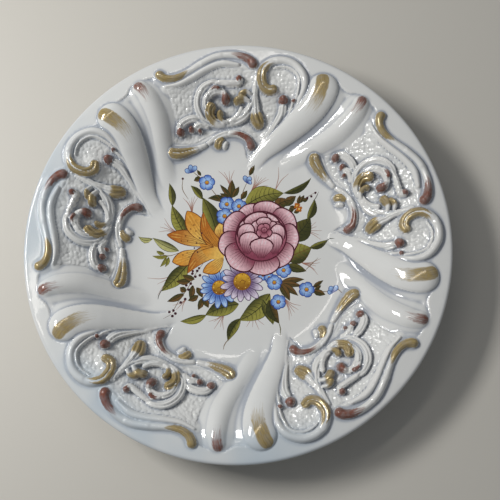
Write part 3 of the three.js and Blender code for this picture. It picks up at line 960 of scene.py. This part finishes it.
    def twigs(self) -> None:
        """Twigs with small leaves, berries and buds."""
        brown, shade = Pigment.BROWN, Pigment.LEAF_SHADE
        self.leaflets(
            0.0, brown, shade, ((-8, 54), (-7, 74), 7), ((-8, 56), (-19, 69), 4), ((-6, 56), (0, 67), 5),
            ((-9, 55), (-19, 60), 4), ((2, 54), (8, 63), 5), ((-38, 76), (-45, 73), 5),
            ((10, 78), (15, 89), 4),
            ((-38, 78), (-42, 84), 2.5), ((72, -34), (82, -27), 3.5), ((72, -37), (84, -41), 6),
            ((74, -36), (80, -32), 3),
        )
        berries: Points = [(-34, -10), (-42, -22), (-48, -34), (-56, -46), (-64, -60), (-71, -65)]
        for points in (
            [(-30, 68), (-24, 60), (-15, 50)], [(-47, 83), (-41, 78), (-35, 74)], [(8, 72), (4, 62), (1, 52)],
            [(70, -36), (80, -38), (92, -37)], [(92, -37), (96, -36), (100, -40)],
            [(-56, 74), (-56, 64), (-50, 54)], [(64, -18), (70, -12), (77, -5)],
            [(-58, 0), (-68, -3), (-80, 0)],
        ):
            self.line(points, 0.8, brown)
        self.leaflets(0.1, Pigment.LEAF_LIGHT, Pigment.LEAF, ((-68, -3), (-84, -3), 3),
                      ((-72, -1), (-80, 2), 3),
                      ((-70, -4), (-76, -14), 3), ((-68, -4), (-71, -14), 3))
        self.line(berries, 0.8, brown)
        for x, y in berries[1:5]:
            for across, up in ((-3, 1), (2, 3), (0, -3), (4, -1)):
                at = (x + across + 1.6 * self.chance.random(), y + up + 1.6 * self.chance.random())
                self.dot(at, 1.5, Pigment.BERRY)
        self.leaflets(
            0.05, brown, shade, ((-46, -28), (-60, -28), 5.5), ((-52, -40), (-68, -48), 5.5),
            ((-44, -32), (-46, -46), 5.5), ((-40, -34), (-34, -44), 5.5), ((-34, -44), (-38, -56), 5.5),
            ((-34, -44), (-28, -54), 5.5), ((-42, -26), (-54, -22), 5.5), ((-50, -38), (-56, -34), 5.5),
            ((-38, -42), (-48, -47), 5.5),
        )
        self.line([(46, 32), (56, 46), (64, 54), (76, 61)], 0.8, brown)
        self.leaflets(
            0.0, brown, shade, ((56, 44), (50, 47), 3.5), ((58, 48), (60, 58), 3.5),
            ((60, 50), (64, 58), 3.5),
            ((54, 40), (60, 43), 3.5), ((52, 40), (50, 46), 3.5), ((62, 52), (68, 54), 3.5),
        )
        for at in ((67, 55), (71, 56.5), (75, 60), (-56, 75), (-38, -15), (-44, -18)):
            self.dot(at, 1.3, Pigment.BERRY)
        for at in ((47, 37), (52, 34), (57, 47), (59, 44)):
            for turn in range(4):
                self.dot(polar(at, 1.8, 90 * turn + 30), 1.7, Pigment.ORANGE_SHADE)
            self.dot(at, 1.0, Pigment.CREAM)

    def blossom(self, at: Place, radius: float, turned: float) -> None:
        """Paint a five-petalled blue flower with a yellow eye, turned by some degrees."""
        for k in range(5):
            self.petal(at, polar(at, radius, turned + 72.0 * k), radius * 0.98, Pigment.BLUE_LIGHT,
                       Pigment.BLUE,
                       Pigment.BLUE_LINE, full=1.7, blunt=0.5, edge=0.7, hidden=0.35)
        self.dot(at, radius * 0.32, Pigment.BLUE_LINE)
        self.dot(at, radius * 0.25, Pigment.YELLOW, Pigment.ORANGE_SHADE)

    def blue_flowers(self) -> None:
        """The small blue flowers and their buds."""
        for at, radius, turned in (
            ((-32, 71), 8.0, 10), ((-12, 49), 7.8, 50), ((0, 47), 7.6, 20), ((-14, 37), 8.2, 80),
            ((24, -22), 5.0, 0),
            ((30, -24), 5.0, 30), ((44, -17), 7.4, 60), ((35, -29), 7.6, 15), ((39, -48), 7.4, 40),
            ((66, -36), 7.6, 70),
        ):
            self.blossom(at, radius, turned)
        for root, tips in (((-47, 81), ((-54, 84), (-49, 89), (-43, 88))),
                           ((8, 70), ((5, 78), (11, 77), (12, 72))),
                           ((92, -39), ((86, -38), (88, -33), (95, -32)))):
            for tip in tips:
                self.petal(root, tip, 5.0, Pigment.BLUE_LINE, Pigment.BLUE_LIGHT, Pigment.BLUE_LINE, edge=0.6)

    def daisy(self, at: Place, radius: float, disc: float, near: Pigment, far: Pigment,
              line: Pigment) -> None:
        """Paint a daisy with a domed yellow disc.

        Args:
            at: Its middle.
            radius: Its radius.
            disc: Its disc's radius.
            near: The petals' colour at the disc.
            far: The petals' colour at their tips.
            line: The colour of the lines.
        """
        for k in range(15):
            turned = 24.0 * k + 5.0 * self.chance.random()
            tip = polar(at, radius * (0.92 + 0.16 * self.chance.random()), turned)
            self.petal(at, tip, radius * 0.31, near, far, line, full=1.5, blunt=0.45, veins=2, edge=0.7,
                       hidden=0.38)
        self.dot(at, disc + 0.7, Pigment.YELLOW_SHADE)
        self.dot(at, disc, Pigment.YELLOW, Pigment.YELLOW_SHADE)
        curl = ((-0.3, -0.1), (0.0, 0.2), (0.4, 0.0), (0.2, -0.35))
        self.line([(at[0] + disc * x, at[1] + disc * y) for x, y in curl], 1.0, Pigment.ORANGE_LINE)
        for k in range(12):
            self.dot(polar(at, disc * 0.84, 30.0 * k), 0.6, Pigment.ORANGE_LINE if k % 2 else Pigment.CREAM)

    def daisies(self) -> None:
        """The blue daisy and the lilac one over it."""
        self.daisy((-18, -34), 19.0, 6.6, Pigment.BLUE, Pigment.BLUE_LIGHT, Pigment.BLUE_LINE)
        self.daisy((4, -28), 21.0, 8.0, Pigment.LILAC, Pigment.LILAC_LIGHT, Pigment.LILAC_LINE)

    def lily(self) -> None:
        """The orange lily with its yellow throat, stamens and spots."""
        line, deep, mid, pale = Pigment.ORANGE_LINE, Pigment.ORANGE_SHADE, Pigment.ORANGE, Pigment.CREAM
        for root, tip, width, near, far, bend, full in (
            ((-14, 11), (-19, 30), 13, deep, pale, 0.05, 1.1),
            ((-14, -2), (-34, -19), 13, pale, mid, 0.12, 1.3),
            ((-13, -3), (7, -18), 11, mid, pale, 0.08, 1.2), ((-34, 4), (-64, -9), 15, pale, mid, 0.05, 1.4),
            ((-26, 8), (-70, 18), 15, pale, deep, -0.04, 1.1),
            ((-26, 8), (-51, 42), 18, pale, mid, 0.04, 1.3),
            ((-12, 2), (-35, 41), 13, mid, deep, 0.16, 0.75),
            ((-13, 0), (-49, -20), 15, pale, deep, -0.22, 0.95),
        ):
            self.petal(root, tip, width, near, far, line, bend, full, 0.75, 5, 0.8, gleam=pale)
        self.fill(Growth((-12, -1), (-38, 9), 0.12).outline(13, 0.8, 0.8), pale, mid, (-14, 0), (-34, 8))
        for tip in ((-38, 15), (-41, 10), (-43, 5), (-36, 20), (-40, 1)):
            self.line([(-24, 6), ((tip[0] - 24) / 2, (tip[1] + 6) / 2 + 0.8), tip], 0.8, line)
            self.dot(tip, 0.9, Pigment.BERRY)
        for at in ((-47, 24), (-44, 28), (-42, 22), (-52, 17), (-56, 12), (-50, 12), (-54, -2), (-48, -4),
                   (-50, 0)):
            self.dot(at, 0.7, line)

    def ring(self, middle: Place, petals: tuple[tuple[float, float, float], ...], near: Pigment, far: Pigment,
             veins: int, edge: float, hidden: float, blunt: float = 0.5) -> None:
        """Paint overlapping petals around a middle.

        Args:
            middle: Where they grow from.
            petals: Each petal's direction in degrees, length and width.
            near: Their colour at the middle.
            far: Their colour at the tips.
            veins: How many veins each has.
            edge: The width of their outlines.
            hidden: The share of each that others cover.
            blunt: How blunt their ends are.
        """
        for degrees, reach, width in petals:
            tip = polar(middle, reach, degrees)
            lean = 0.08 * self.chance.random() - 0.04
            self.petal(middle, tip, width, near, far, Pigment.ROSE_LINE, lean, 2.1, blunt, veins, edge,
                       hidden)

    def peony(self) -> None:
        """The rose-coloured peony: loose outer petals around a closed ball."""
        line, shade, mid, pale = Pigment.ROSE_LINE, Pigment.ROSE_SHADE, Pigment.ROSE, Pigment.ROSE_LIGHT
        self.ring((22, 17),
                  ((118, 35, 28), (74, 36, 32), (34, 38, 30), (158, 39, 30), (-6, 37, 31), (-44, 38, 30),
                             (196, 43, 27), (-84, 39, 33), (-134, 42, 33)), shade, pale, 8, 1.2, 0.55, 0.6)
        self.dot((22, 17), 25.4, line)
        self.dot((22, 17), 24.2, mid, shade)
        self.ring((22, 18), ((60, 23, 22), (160, 24, 22), (110, 23.5, 24), (10, 23.5, 20)), shade, pale, 6,
                  1.3, 0.45)
        self.ring((25, 21), ((30, 15, 13), (150, 15, 14), (92, 15, 15)), shade, pale, 4, 1.2, 0.3)
        for root, tip, width in (((1, 7), (12, 29), 16), ((42, 6), (37, 29), 15), ((7, -3), (14, 21), 20),
                                 ((37, -3), (33, 20), 19), ((22, -7), (24, 15), 23)):
            self.petal(root, tip, width, shade, pale, line, 0.04, 1.7, 0.6, 6, 1.3, 0.1)
        self.ring((25, 22), ((205, 8, 8), (-25, 8, 8), (-90, 7, 8), (70, 8, 8), (130, 8, 8)), shade, mid, 0,
                  1.1, 0.2)
        self.dot((25, 23), 3.4, line)
        self.dot((25, 23), 2.7, mid, shade)
        self.line([(23.5, 22.5), (25, 24.4), (26.6, 23), (25.3, 21.8)], 0.8, line)


@dataclass(frozen=True)
class Glaze:
    """The white glaze over the whole plate."""

    colour: Triple = (0.66, 0.665, 0.655)
    # Darker blue-grey in hollows: where the glaze pools, and painted shade.
    pooled_shade: Triple = (0.36, 0.385, 0.43)
    # Lighter on crests: painted light.
    crest_light: Triple = (0.705, 0.70, 0.68)
    # Blue-grey blotches on the brim, kept to the lower left side as painted shade, and the direction of that
    # side.
    blotchy_side_shade: Triple = (0.47, 0.53, 0.58)
    shaded_side: Triple = (-0.8, -0.6, 0.0)
    gloss: tuple[float, float] = (0.05, 0.10)
    ripple: float = 0.04
    pebbles: float = 0.8
    pebble_scale: float = 260.0
    # An even hollow depth for the back, giving it a little of the painted shade.
    back_hollow: float = 0.2


@dataclass(frozen=True)
class Lustre:
    """A thin painted colour on the relief, streaked by the brush."""

    deep: Triple
    light: Triple
    roughness: float
    metallic: float


GOLD_LUSTRE = Lustre((0.17, 0.11, 0.028), (0.50, 0.385, 0.165), 0.14, 0.2)
MAROON_LUSTRE = Lustre((0.06, 0.012, 0.005), (0.27, 0.09, 0.056), 0.12, 0.0)


@dataclass(frozen=True)
class Biscuit:
    """Bare fired clay under the foot ring."""

    colour: Triple = (0.62, 0.52, 0.42)
    grain: Triple = (0.45, 0.36, 0.27)
    coarseness: float = 0.05
    roughness: float = 0.85


class Wiring:
    """A short way to add shader nodes to one tree."""

    def __init__(self, tree: bpy.types.NodeTree) -> None:
        """Keep the tree."""
        self.tree = tree

    def add(self, kind: str, **settings: object) -> bpy.types.Node:
        """Add a node and set its properties."""
        node = self.tree.nodes.new(kind)
        for name, value in settings.items():
            setattr(node, name, value)
        return node

    def put(self, socket: Socket, value: object) -> None:
        """Link a socket, or set its value where the value is a constant."""
        if isinstance(value, Socket):
            self.tree.links.new(value, socket)
        elif isinstance(value, tuple) and len(value) == 3 and socket.type == "RGBA":
            socket.default_value = (*value, 1.0)
        else:
            socket.default_value = value

    def feed(self, node: bpy.types.Node, inputs: dict[str, object]) -> bpy.types.Node:
        """Link or set several inputs of a node by name."""
        for name, value in inputs.items():
            self.put(node.inputs[name], value)
        return node

    def math(self, operation: str, one: object, other: object) -> Socket:
        """Calculate with two numbers."""
        node = self.add("ShaderNodeMath", operation=operation)
        self.put(node.inputs[0], one)
        self.put(node.inputs[1], other)
        return node.outputs[0]

    def times(self, one: object, other: object) -> Socket:
        """Multiply two numbers."""
        return self.math("MULTIPLY", one, other)

    def plus(self, one: object, other: object) -> Socket:
        """Add two numbers."""
        return self.math("ADD", one, other)

    def of_vector(self, operation: str, vector: object, other: Triple = (0.0, 0.0, 0.0)) -> Socket:
        """A number that a vector gives, alone or with another."""
        node = self.add("ShaderNodeVectorMath", operation=operation)
        self.put(node.inputs[0], vector)
        self.put(node.inputs[1], other)
        return node.outputs["Value"]

    def between(self, value: object, low: float, high: float, start: float = 0.0, end: float = 1.0) -> Socket:
        """Map a value smoothly from one range to another."""
        node = self.add("ShaderNodeMapRange", interpolation_type="SMOOTHSTEP")
        return self.feed(node, {"Value": value, "From Min": low, "From Max": high, "To Min": start,
                                "To Max": end}).outputs[0]

    def blend(self, share: object, one: object, other: object, mode: str = "MIX") -> Socket:
        """Mix two colours."""
        node = self.add("ShaderNodeMix", data_type="RGBA", blend_type=mode)
        for place, value in ((0, share), (6, one), (7, other)):
            self.put(node.inputs[place], value)
        return node.outputs[2]

    def mixed(self, share: object, one: object, other: object) -> Socket:
        """Mix two numbers."""
        node = self.add("ShaderNodeMix", data_type="FLOAT")
        for place, value in ((0, share), (2, one), (3, other)):
            self.put(node.inputs[place], value)
        return node.outputs[0]

    def noise(self, place: object, scale: float, detail: float = 3.0, roughness: float = 0.55) -> Socket:
        """Smooth noise from 0 to 1."""
        node = self.add("ShaderNodeTexNoise")
        return self.feed(node, {"Vector": place, "Scale": scale, "Detail": detail,
                                "Roughness": roughness}).outputs["Fac"]

    def stored(self, name: str, output: str = "Fac") -> Socket:
        """A value or colour stored on the mesh."""
        return self.add("ShaderNodeAttribute", attribute_type="GEOMETRY", attribute_name=name).outputs[output]


class Shades:
    """The shader node groups that more than one material uses."""

    def __init__(self, glaze: Glaze) -> None:
        """Build the groups once."""
        self.glaze = glaze
        self.body = self.glaze_body()
        self.brush = self.brushed_paint()

    @staticmethod
    def group(name: str, takes: dict[str, str], gives: dict[str, str]) -> tuple[bpy.types.NodeTree, Wiring]:
        """Make an empty group whose inputs and outputs have these names and kinds, and its wiring."""
        tree = bpy.data.node_groups.new(name, "ShaderNodeTree")
        for way, sockets in (("INPUT", takes), ("OUTPUT", gives)):
            for label, kind in sockets.items():
                tree.interface.new_socket(label, in_out=way, socket_type=f"NodeSocket{kind}")
        return tree, Wiring(tree)

    def glaze_body(self) -> bpy.types.NodeTree:
        """Glaze colour, gloss and fine unevenness. The colour holds painted shade, darker and bluer in
        hollows where the glaze also pools, and blue-grey blotches on the brim's lower left side; and painted
        light, lighter on crests.
        """
        tree, wire = self.group(
            "glaze body",
            {"Place": "Vector", "Hollow": "Float"},
            {"Colour": "Color", "Roughness": "Float", "Height": "Float"},
        )
        source, result = wire.add("NodeGroupInput"), wire.add("NodeGroupOutput")
        place, hollow = source.outputs["Place"], source.outputs["Hollow"]
        # Darker and bluer where the face lies below its surroundings: glaze pooling and painted shade of the
        # hollows.
        cloud = wire.noise(place, 14.0, 2.0)
        pooled_shade = wire.between(wire.plus(hollow, wire.times(cloud, 0.25)), 0.15, 0.95)
        colour = wire.blend(pooled_shade, self.glaze.colour, self.glaze.pooled_shade)
        # Lighter where the face stands above its surroundings: painted light on the crests.
        crest_light = wire.between(wire.times(hollow, -1.0), 0.1, 1.0, 0.0, 0.6)
        colour = wire.blend(crest_light, colour, self.glaze.crest_light)
        # Blue-grey blotches on the brim, only on its lower left side: painted shade.
        brim = wire.between(wire.of_vector("LENGTH", place), 0.172, 0.19)
        shaded_side_share = wire.between(wire.of_vector("DOT_PRODUCT", place, self.glaze.shaded_side), -0.02, 0.14)
        tinge = wire.times(wire.between(wire.noise(place, 7.0, 3.0), 0.3, 0.62), wire.plus(brim, 0.2))
        ripple = wire.plus(wire.noise(place, 90.0, 2.0), wire.times(wire.noise(place, 320.0, 1.0), 0.3))
        wire.feed(result, {
            "Colour": wire.blend(wire.times(tinge, shaded_side_share), colour, self.glaze.blotchy_side_shade),
            "Roughness": wire.between(wire.noise(place, 60.0), 0.3, 0.7, *self.glaze.gloss),
            "Height": wire.times(ripple, self.glaze.ripple),
        })
        return tree

    def brushed_paint(self) -> bpy.types.NodeTree:
        """Where a brushed colour covers, from its stored edge distance and the brush's own lines."""
        tree, wire = self.group(
            "brushed paint",
            {"Edge": "Float", "Lane": "Float", "Run": "Float", "Place": "Vector", "Deep": "Color",
             "Light": "Color"},
            {"Cover": "Float", "Colour": "Color"},
        )
        source, result = wire.add("NodeGroupInput"), wire.add("NodeGroupOutput")
        edge, lane, run, place, deep, light = (source.outputs[k] for k in range(6))
        lines = wire.feed(wire.add("ShaderNodeCombineXYZ"),
                          {"X": wire.times(lane, 1.1), "Y": wire.times(run, 0.09)})
        bristle = wire.noise(lines.outputs[0], 1.0, 3.0, 0.6)
        blot = wire.noise(place, 220.0, 2.0)
        ragged = wire.plus(edge, wire.times(wire.math("SUBTRACT", bristle, 0.5), 2.6))
        held = wire.between(edge, -0.6, 0.0)
        wash = wire.between(blot, 0.3, 0.68, 0.82, 0.98)
        tone = wire.between(wire.plus(wire.times(bristle, 0.7), wire.times(blot, 0.3)), 0.24, 0.8)
        wire.feed(result, {
            "Cover": wire.times(wire.between(ragged, -0.3, 1.1), wire.times(held, wash)),
            "Colour": wire.blend(tone, deep, light),
        })
        return tree


class Finishes:
    """The plate's materials."""

    def __init__(self) -> None:
        """Build the shared groups."""
        self.glaze = Glaze()
        self.shades = Shades(self.glaze)

    def start(self, name: str) -> tuple[bpy.types.Material, Wiring, Socket]:
        """An empty material, its wiring and the object's own coordinates."""
        material = bpy.data.materials.new(name)
        material.use_nodes = True
        material.node_tree.nodes.clear()
        wire = Wiring(material.node_tree)
        return material, wire, wire.add("ShaderNodeTexCoord").outputs["Object"]

    def finish(self, wire: Wiring, colour: object, rough: object, height: Socket,
               metal: object = 0.0) -> None:
        """Add the shader and the bump that gives it its heights, in millimetres."""
        bump = wire.feed(wire.add("ShaderNodeBump"),
                         {"Strength": 1.0, "Distance": 1.0 * MM, "Height": height})
        shader = wire.feed(wire.add("ShaderNodeBsdfPrincipled"), {
            "Base Color": colour, "Roughness": rough, "Metallic": metal, "Normal": bump.outputs[0],
        })
        wire.feed(wire.add("ShaderNodeOutputMaterial"), {"Surface": shader.outputs[0]})

    def glazed(self, wire: Wiring, place: Socket, hollow: object) -> list[Socket]:
        """Place the glaze group, for its colour, roughness and height."""
        node = wire.add("ShaderNodeGroup", node_tree=self.shades.body)
        return list(wire.feed(node, {"Place": place, "Hollow": hollow}).outputs)

    def brushed(self, wire: Wiring, place: Socket, edge: str, lustre: Lustre) -> list[Socket]:
        """Place the brushed paint group for one colour, for its cover and colour."""
        node = wire.add("ShaderNodeGroup", node_tree=self.shades.brush)
        return list(wire.feed(node, {
            "Edge": wire.stored(edge), "Lane": wire.stored("lane"), "Run": wire.stored("run"),
            "Place": place, "Deep": lustre.deep, "Light": lustre.light,
        }).outputs)

    def face(self) -> bpy.types.Material:
        """The carved face: glaze, then the bouquet, then maroon and gold on the relief."""
        material, wire, place = self.start("painted glaze")
        colour, rough, height = self.glazed(wire, place, wire.stored("hollow"))
        metal: object = 0.0
        tone = wire.between(wire.noise(place, 420.0, 3.0), 0.3, 0.7, 0.86, 1.1)
        pigment = wire.blend(1.0, wire.stored("paint", "Color"), tone, "MULTIPLY")
        colour = wire.blend(wire.stored("paint", "Alpha"), colour, pigment)
        for edge, lustre in (("maroon", MAROON_LUSTRE), ("gold", GOLD_LUSTRE)):
            cover, paint = self.brushed(wire, place, edge, lustre)
            colour = wire.blend(cover, colour, paint)
            rough = wire.mixed(cover, rough, lustre.roughness)
            metal = wire.mixed(cover, metal, lustre.metallic)
        cells = wire.feed(wire.add("ShaderNodeTexVoronoi", feature="SMOOTH_F1"),
                          {"Vector": place, "Scale": self.glaze.pebble_scale, "Smoothness": 0.25})
        bead = wire.math("SUBTRACT", 1.0, wire.math("POWER", cells.outputs["Distance"], 2.0))
        bead = wire.times(wire.times(bead, wire.stored("pebbled")), self.glaze.pebbles)
        self.finish(wire, colour, rough, wire.plus(height, bead), metal)
        return material

    def back(self) -> bpy.types.Material:
        """The plain glazed back."""
        material, wire, place = self.start("back glaze")
        self.finish(wire, *self.glazed(wire, place, self.glaze.back_hollow))
        return material

    def foot(self) -> bpy.types.Material:
        """The bare clay that the foot ring stands on."""
        biscuit = Biscuit()
        material, wire, place = self.start("bare clay")
        grain = wire.noise(place, 900.0, 3.0)
        colour = wire.blend(grain, biscuit.colour, biscuit.grain)
        self.finish(wire, colour, biscuit.roughness, wire.times(grain, biscuit.coarseness))
        return material


@dataclass
class Plate:
    """The plate: its carved face, rounded rim, turned back and foot ring in one closed mesh."""

    turning: Turning
    border: Border
    around: int = 240
    spacing: float = 1.07
    fine_bend: float = 0.33
    coarse_bend: float = 0.17
    # How much less painted shade the pebbled ground gets.
    stone_shade: float = 0.65
    close: float = 1e-4
    weld: float = 1e-5

    def build(self) -> bpy.types.Object:
        """Carve the face, turn the back and join them.

        Returns:
            The plate's object.
        """
        carver = Carver(self.turning, self.border)
        lattice = Lattice(carver, self.spacing)
        bouquet = Bouquet()
        places = lattice.thinned(self.fine_bend, self.coarse_bend)
        turns = np.arange(self.around) * 2.0 * math.pi / self.around
        rim = np.column_stack([np.cos(turns), np.sin(turns)]) * self.turning.face_radius
        drawn = np.vstack([dab.outline for dab in bouquet.dabs])
        corners = np.vstack([rim, self.clear_of(places, drawn), drawn])
        edges, first = [], len(corners) - len(drawn)
        for dab in bouquet.dabs:
            count = len(dab.outline)
            edges.extend((first + k, first + (k + 1) % count) for k in range(count))
            first += count
        flat = delaunay_2d_cdt([Vector(corner) for corner in corners], edges, [], 0, self.weld)
        at = np.array([tuple(point) for point in flat[0]])
        faces = np.array(flat[2])
        LOG.info("face: %d triangles", len(faces))
        carving = carver.carve(at)
        face_points = np.column_stack([at, carving.height])
        painted = self.paint(at, faces, bouquet)
        edge = self.rim_order(at)
        back_points, back_faces, slots = self.turned_back(turns, edge, len(at))
        mesh = bpy.data.meshes.new("plate casting")
        mesh.from_pydata(np.vstack([face_points, back_points]) * MM, [], [*faces.tolist(), *back_faces])
        mesh.polygons.foreach_set("material_index", np.array([0] * len(faces) + slots, dtype=np.int32))
        mesh.shade_smooth()
        # How far each place lies below its surroundings, which the glaze turns into painted shade, less of it
        # on the pebbled ground.
        hollow = lattice.hollow_at(at) * (1.0 - self.stone_shade * carving.pebbled)
        known = {name: getattr(carving, name) for name in ("gold", "maroon", "pebbled", "lane", "run")}
        self.store(mesh, {**known, "hollow": hollow}, len(back_points))
        colours = np.zeros((len(mesh.loops), 4), dtype=np.float32)
        colours[: len(painted)] = painted
        mesh.attributes.new("paint", "FLOAT_COLOR", "CORNER").data.foreach_set("color", colours.ravel())
        piece = bpy.data.objects.new("plate_casting", mesh)
        bpy.context.scene.collection.objects.link(piece)
        return piece

    @staticmethod
    def clear_of(places: np.ndarray, drawn: np.ndarray, gap: float = 0.4) -> np.ndarray:
        """Drop the places that lie within a gap of the painted outlines' points."""
        tree = KDTree(len(drawn))
        for k, (x, y) in enumerate(drawn):
            tree.insert((x, y, 0.0), k)
        tree.balance()
        reach = np.abs(drawn).max() + gap
        kept = [max(abs(x), abs(y)) > reach or tree.find((x, y, 0.0))[2] > gap for x, y in places]
        return places[np.array(kept)]

    @staticmethod
    def paint(at: np.ndarray, faces: np.ndarray, bouquet: Bouquet) -> np.ndarray:
        """Colour each face's corners by the dabs that lie over the face, one on another.

        Args:
            at: The face's corners.
            faces: The triangles.
            bouquet: The painted bouquet.

        Returns:
            Red, green, blue and cover for each corner of each triangle in turn.
        """
        centres = at[faces].mean(axis=1)
        near = np.flatnonzero(np.abs(centres).max(axis=1) < bouquet.radius)
        colours = np.zeros((len(faces), 3, 4))
        for dab in bouquet.dabs:
            low, high = dab.outline.min(axis=0), dab.outline.max(axis=0)
            rows = near[((centres[near] > low) & (centres[near] < high)).all(axis=1)]
            rows = rows[inside(dab.outline, centres[rows])]
            fresh = dab.shade(at[faces[rows]].reshape(-1, 2)).reshape(-1, 3, 4)
            under = colours[rows]
            left = under[..., 3:] * (1.0 - fresh[..., 3:])
            cover = fresh[..., 3:] + left
            mixed = (fresh[..., :3] * fresh[..., 3:] + under[..., :3] * left) / np.maximum(cover, 1e-6)
            colours[rows] = np.concatenate([mixed, cover], axis=-1)
        return colours.reshape(-1, 4)

    def rim_order(self, at: np.ndarray) -> np.ndarray:
        """The face's outermost corners, in order around."""
        radius = np.hypot(at[:, 0], at[:, 1])
        outer = np.flatnonzero(radius > self.turning.face_radius - self.close)
        turn = np.arctan2(at[outer, 1], at[outer, 0]) % FULL_TURN
        turn[turn > FULL_TURN - self.close] -= FULL_TURN
        return outer[np.argsort(turn)]

    def turned_back(self, turns: np.ndarray, edge: np.ndarray, first: int) -> tuple[np.ndarray, list, list]:
        """The rim's edge, the back and the foot ring.

        Args:
            turns: The angles around.
            edge: The face's outermost corners in order.
            first: The number that the first new corner gets.

        Returns:
            The new corners, the faces and each face's material slot.
        """
        profile = self.turning.back_profile()
        count = self.around
        rings = [edge]
        points = []
        for radius, height in profile:
            rings.append(first + len(points) + np.arange(count))
            points.extend(zip(radius * np.cos(turns), radius * np.sin(turns), np.full(count, height)))
        middle = first + len(points)
        points.append((0.0, 0.0, self.turning.foot_height))
        faces, slots = [], []
        for ring, (upper, lower) in enumerate(zip(rings, rings[1:])):
            bare = ring > 0 and profile[ring, 1] < 0.5 and profile[ring - 1, 1] < 0.5
            for i in range(count):
                j = (i + 1) % count
                faces.append((int(upper[i]), int(lower[i]), int(lower[j]), int(upper[j])))
                slots.append(2 if bare else 1)
        for i in range(count):
            faces.append((int(rings[-1][i]), middle, int(rings[-1][(i + 1) % count])))
            slots.append(1)
        return np.array(points), faces, slots

    @staticmethod
    def store(mesh: bpy.types.Mesh, values: dict[str, np.ndarray], extra: int) -> None:
        """Store values of the face's corners on the mesh, for some further corners too."""
        for name, known in values.items():
            rest = np.full(extra, UNPAINTED if name in ("gold", "maroon") else 0.0)
            stored = mesh.attributes.new(name, "FLOAT", "POINT")
            stored.data.foreach_set("value", np.concatenate([known, rest]).astype(np.float32))

    @staticmethod
    def dress(piece: bpy.types.Object, finishes: Finishes) -> None:
        """Give the plate its materials."""
        for material in (finishes.face(), finishes.back(), finishes.foot()):
            piece.data.materials.append(material)


@dataclass(frozen=True)
class Lamp:
    """One soft rectangular lamp that faces the plate. Metres and watts."""

    name: str
    place: Triple
    size: tuple[float, float]
    power: float
    colour: Triple

    def hang(self) -> None:
        """Put it in the scene."""
        data = bpy.data.lights.new(self.name, "AREA")
        data.shape, data.size, data.size_y = "RECTANGLE", *self.size
        data.energy, data.color = self.power, self.colour
        lamp = bpy.data.objects.new(self.name, data)
        lamp.location = self.place
        lamp.rotation_euler = (-Vector(self.place)).to_track_quat("-Z", "Y").to_euler()
        bpy.context.scene.collection.objects.link(lamp)


WINDOW = Lamp("window", (-0.88, 0.28, 1.02), (0.50, 0.22), 14.4, (1.0, 0.99, 0.965))
CEILING = Lamp("ceiling", (-0.4, 0.42, 1.5), (1.2, 0.1), 2.2, (1.0, 0.96, 0.9))


@dataclass
class Studio:
    """The plain floor, the soft lights and the camera at the photograph's angle. Metres."""

    rim_top: float
    eye: Triple = (0.0506, -0.1828, 0.8147)
    look: Triple = (-0.04495, 0.21245, -0.97614)
    right: Triple = (0.99899, 0.00956, -0.04392)
    lens: float = 64.8
    sensor: float = 36.0
    floor_half: float = 3.0
    floor_colour: Triple = (0.53, 0.51, 0.465)
    floor_roughness: float = 0.55
    sky: Triple = (0.88, 0.92, 0.97)
    sky_strength: float = 0.22

    def camera(self) -> None:
        """Set the camera where the photograph was taken from."""
        data = bpy.data.cameras.new("camera")
        data.lens, data.sensor_width = self.lens, self.sensor
        camera = bpy.data.objects.new("camera", data)
        right = Vector(self.right).normalized()
        back = -Vector(self.look).normalized()
        up = back.cross(right).normalized()
        turn = Matrix((right, up, right.cross(up))).transposed()
        camera.matrix_world = Matrix.Translation(Vector(self.eye) + Vector((0, 0,
                                                                            self.rim_top))) @ turn.to_4x4()
        bpy.context.scene.collection.objects.link(camera)
        bpy.context.scene.camera = camera

    def floor(self) -> None:
        """A plain pale floor."""
        half = self.floor_half
        mesh = bpy.data.meshes.new("floor")
        mesh.from_pydata([(-half, -half, 0), (half, -half, 0), (half, half, 0), (-half, half, 0)], [],
                         [(0, 1, 2, 3)])
        floor = bpy.data.objects.new("floor", mesh)
        material = bpy.data.materials.new("floor")
        material.use_nodes = True
        shader = material.node_tree.nodes["Principled BSDF"]
        shader.inputs["Base Color"].default_value = (*self.floor_colour, 1.0)
        shader.inputs["Roughness"].default_value = self.floor_roughness
        mesh.materials.append(material)
        bpy.context.scene.collection.objects.link(floor)

    def lights(self) -> None:
        """A window's soft daylight from the upper left, and a weak even fill."""
        WINDOW.hang()
        CEILING.hang()
        world = bpy.data.worlds.new("studio")
        world.use_nodes = True
        sky = world.node_tree.nodes["Background"]
        sky.inputs["Color"].default_value = (*self.sky, 1.0)
        sky.inputs["Strength"].default_value = self.sky_strength
        bpy.context.scene.world = world

    def build(self) -> None:
        """Set up the whole studio."""
        self.camera()
        self.floor()
        self.lights()
        bpy.context.scene.view_settings.view_transform = "Standard"


def main() -> None:
    """Build the plate and the studio, and say what was made."""
    logging.basicConfig(level=logging.INFO, format="%(name)s: %(message)s")
    low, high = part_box(NODE)
    turning = Turning(rim_radius=(high[0] - low[0]) / (2 * MM))
    Studio(rim_top=turning.rim_top * MM).build()
    plate = Plate(turning, Border())
    piece = plate.build()
    plate.dress(piece, Finishes())
    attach(piece, BODY)
    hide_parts(NODE)
    LOG.info("plate: %d corners, %d faces", len(piece.data.vertices), len(piece.data.polygons))


if __name__ == "__main__":
    main()
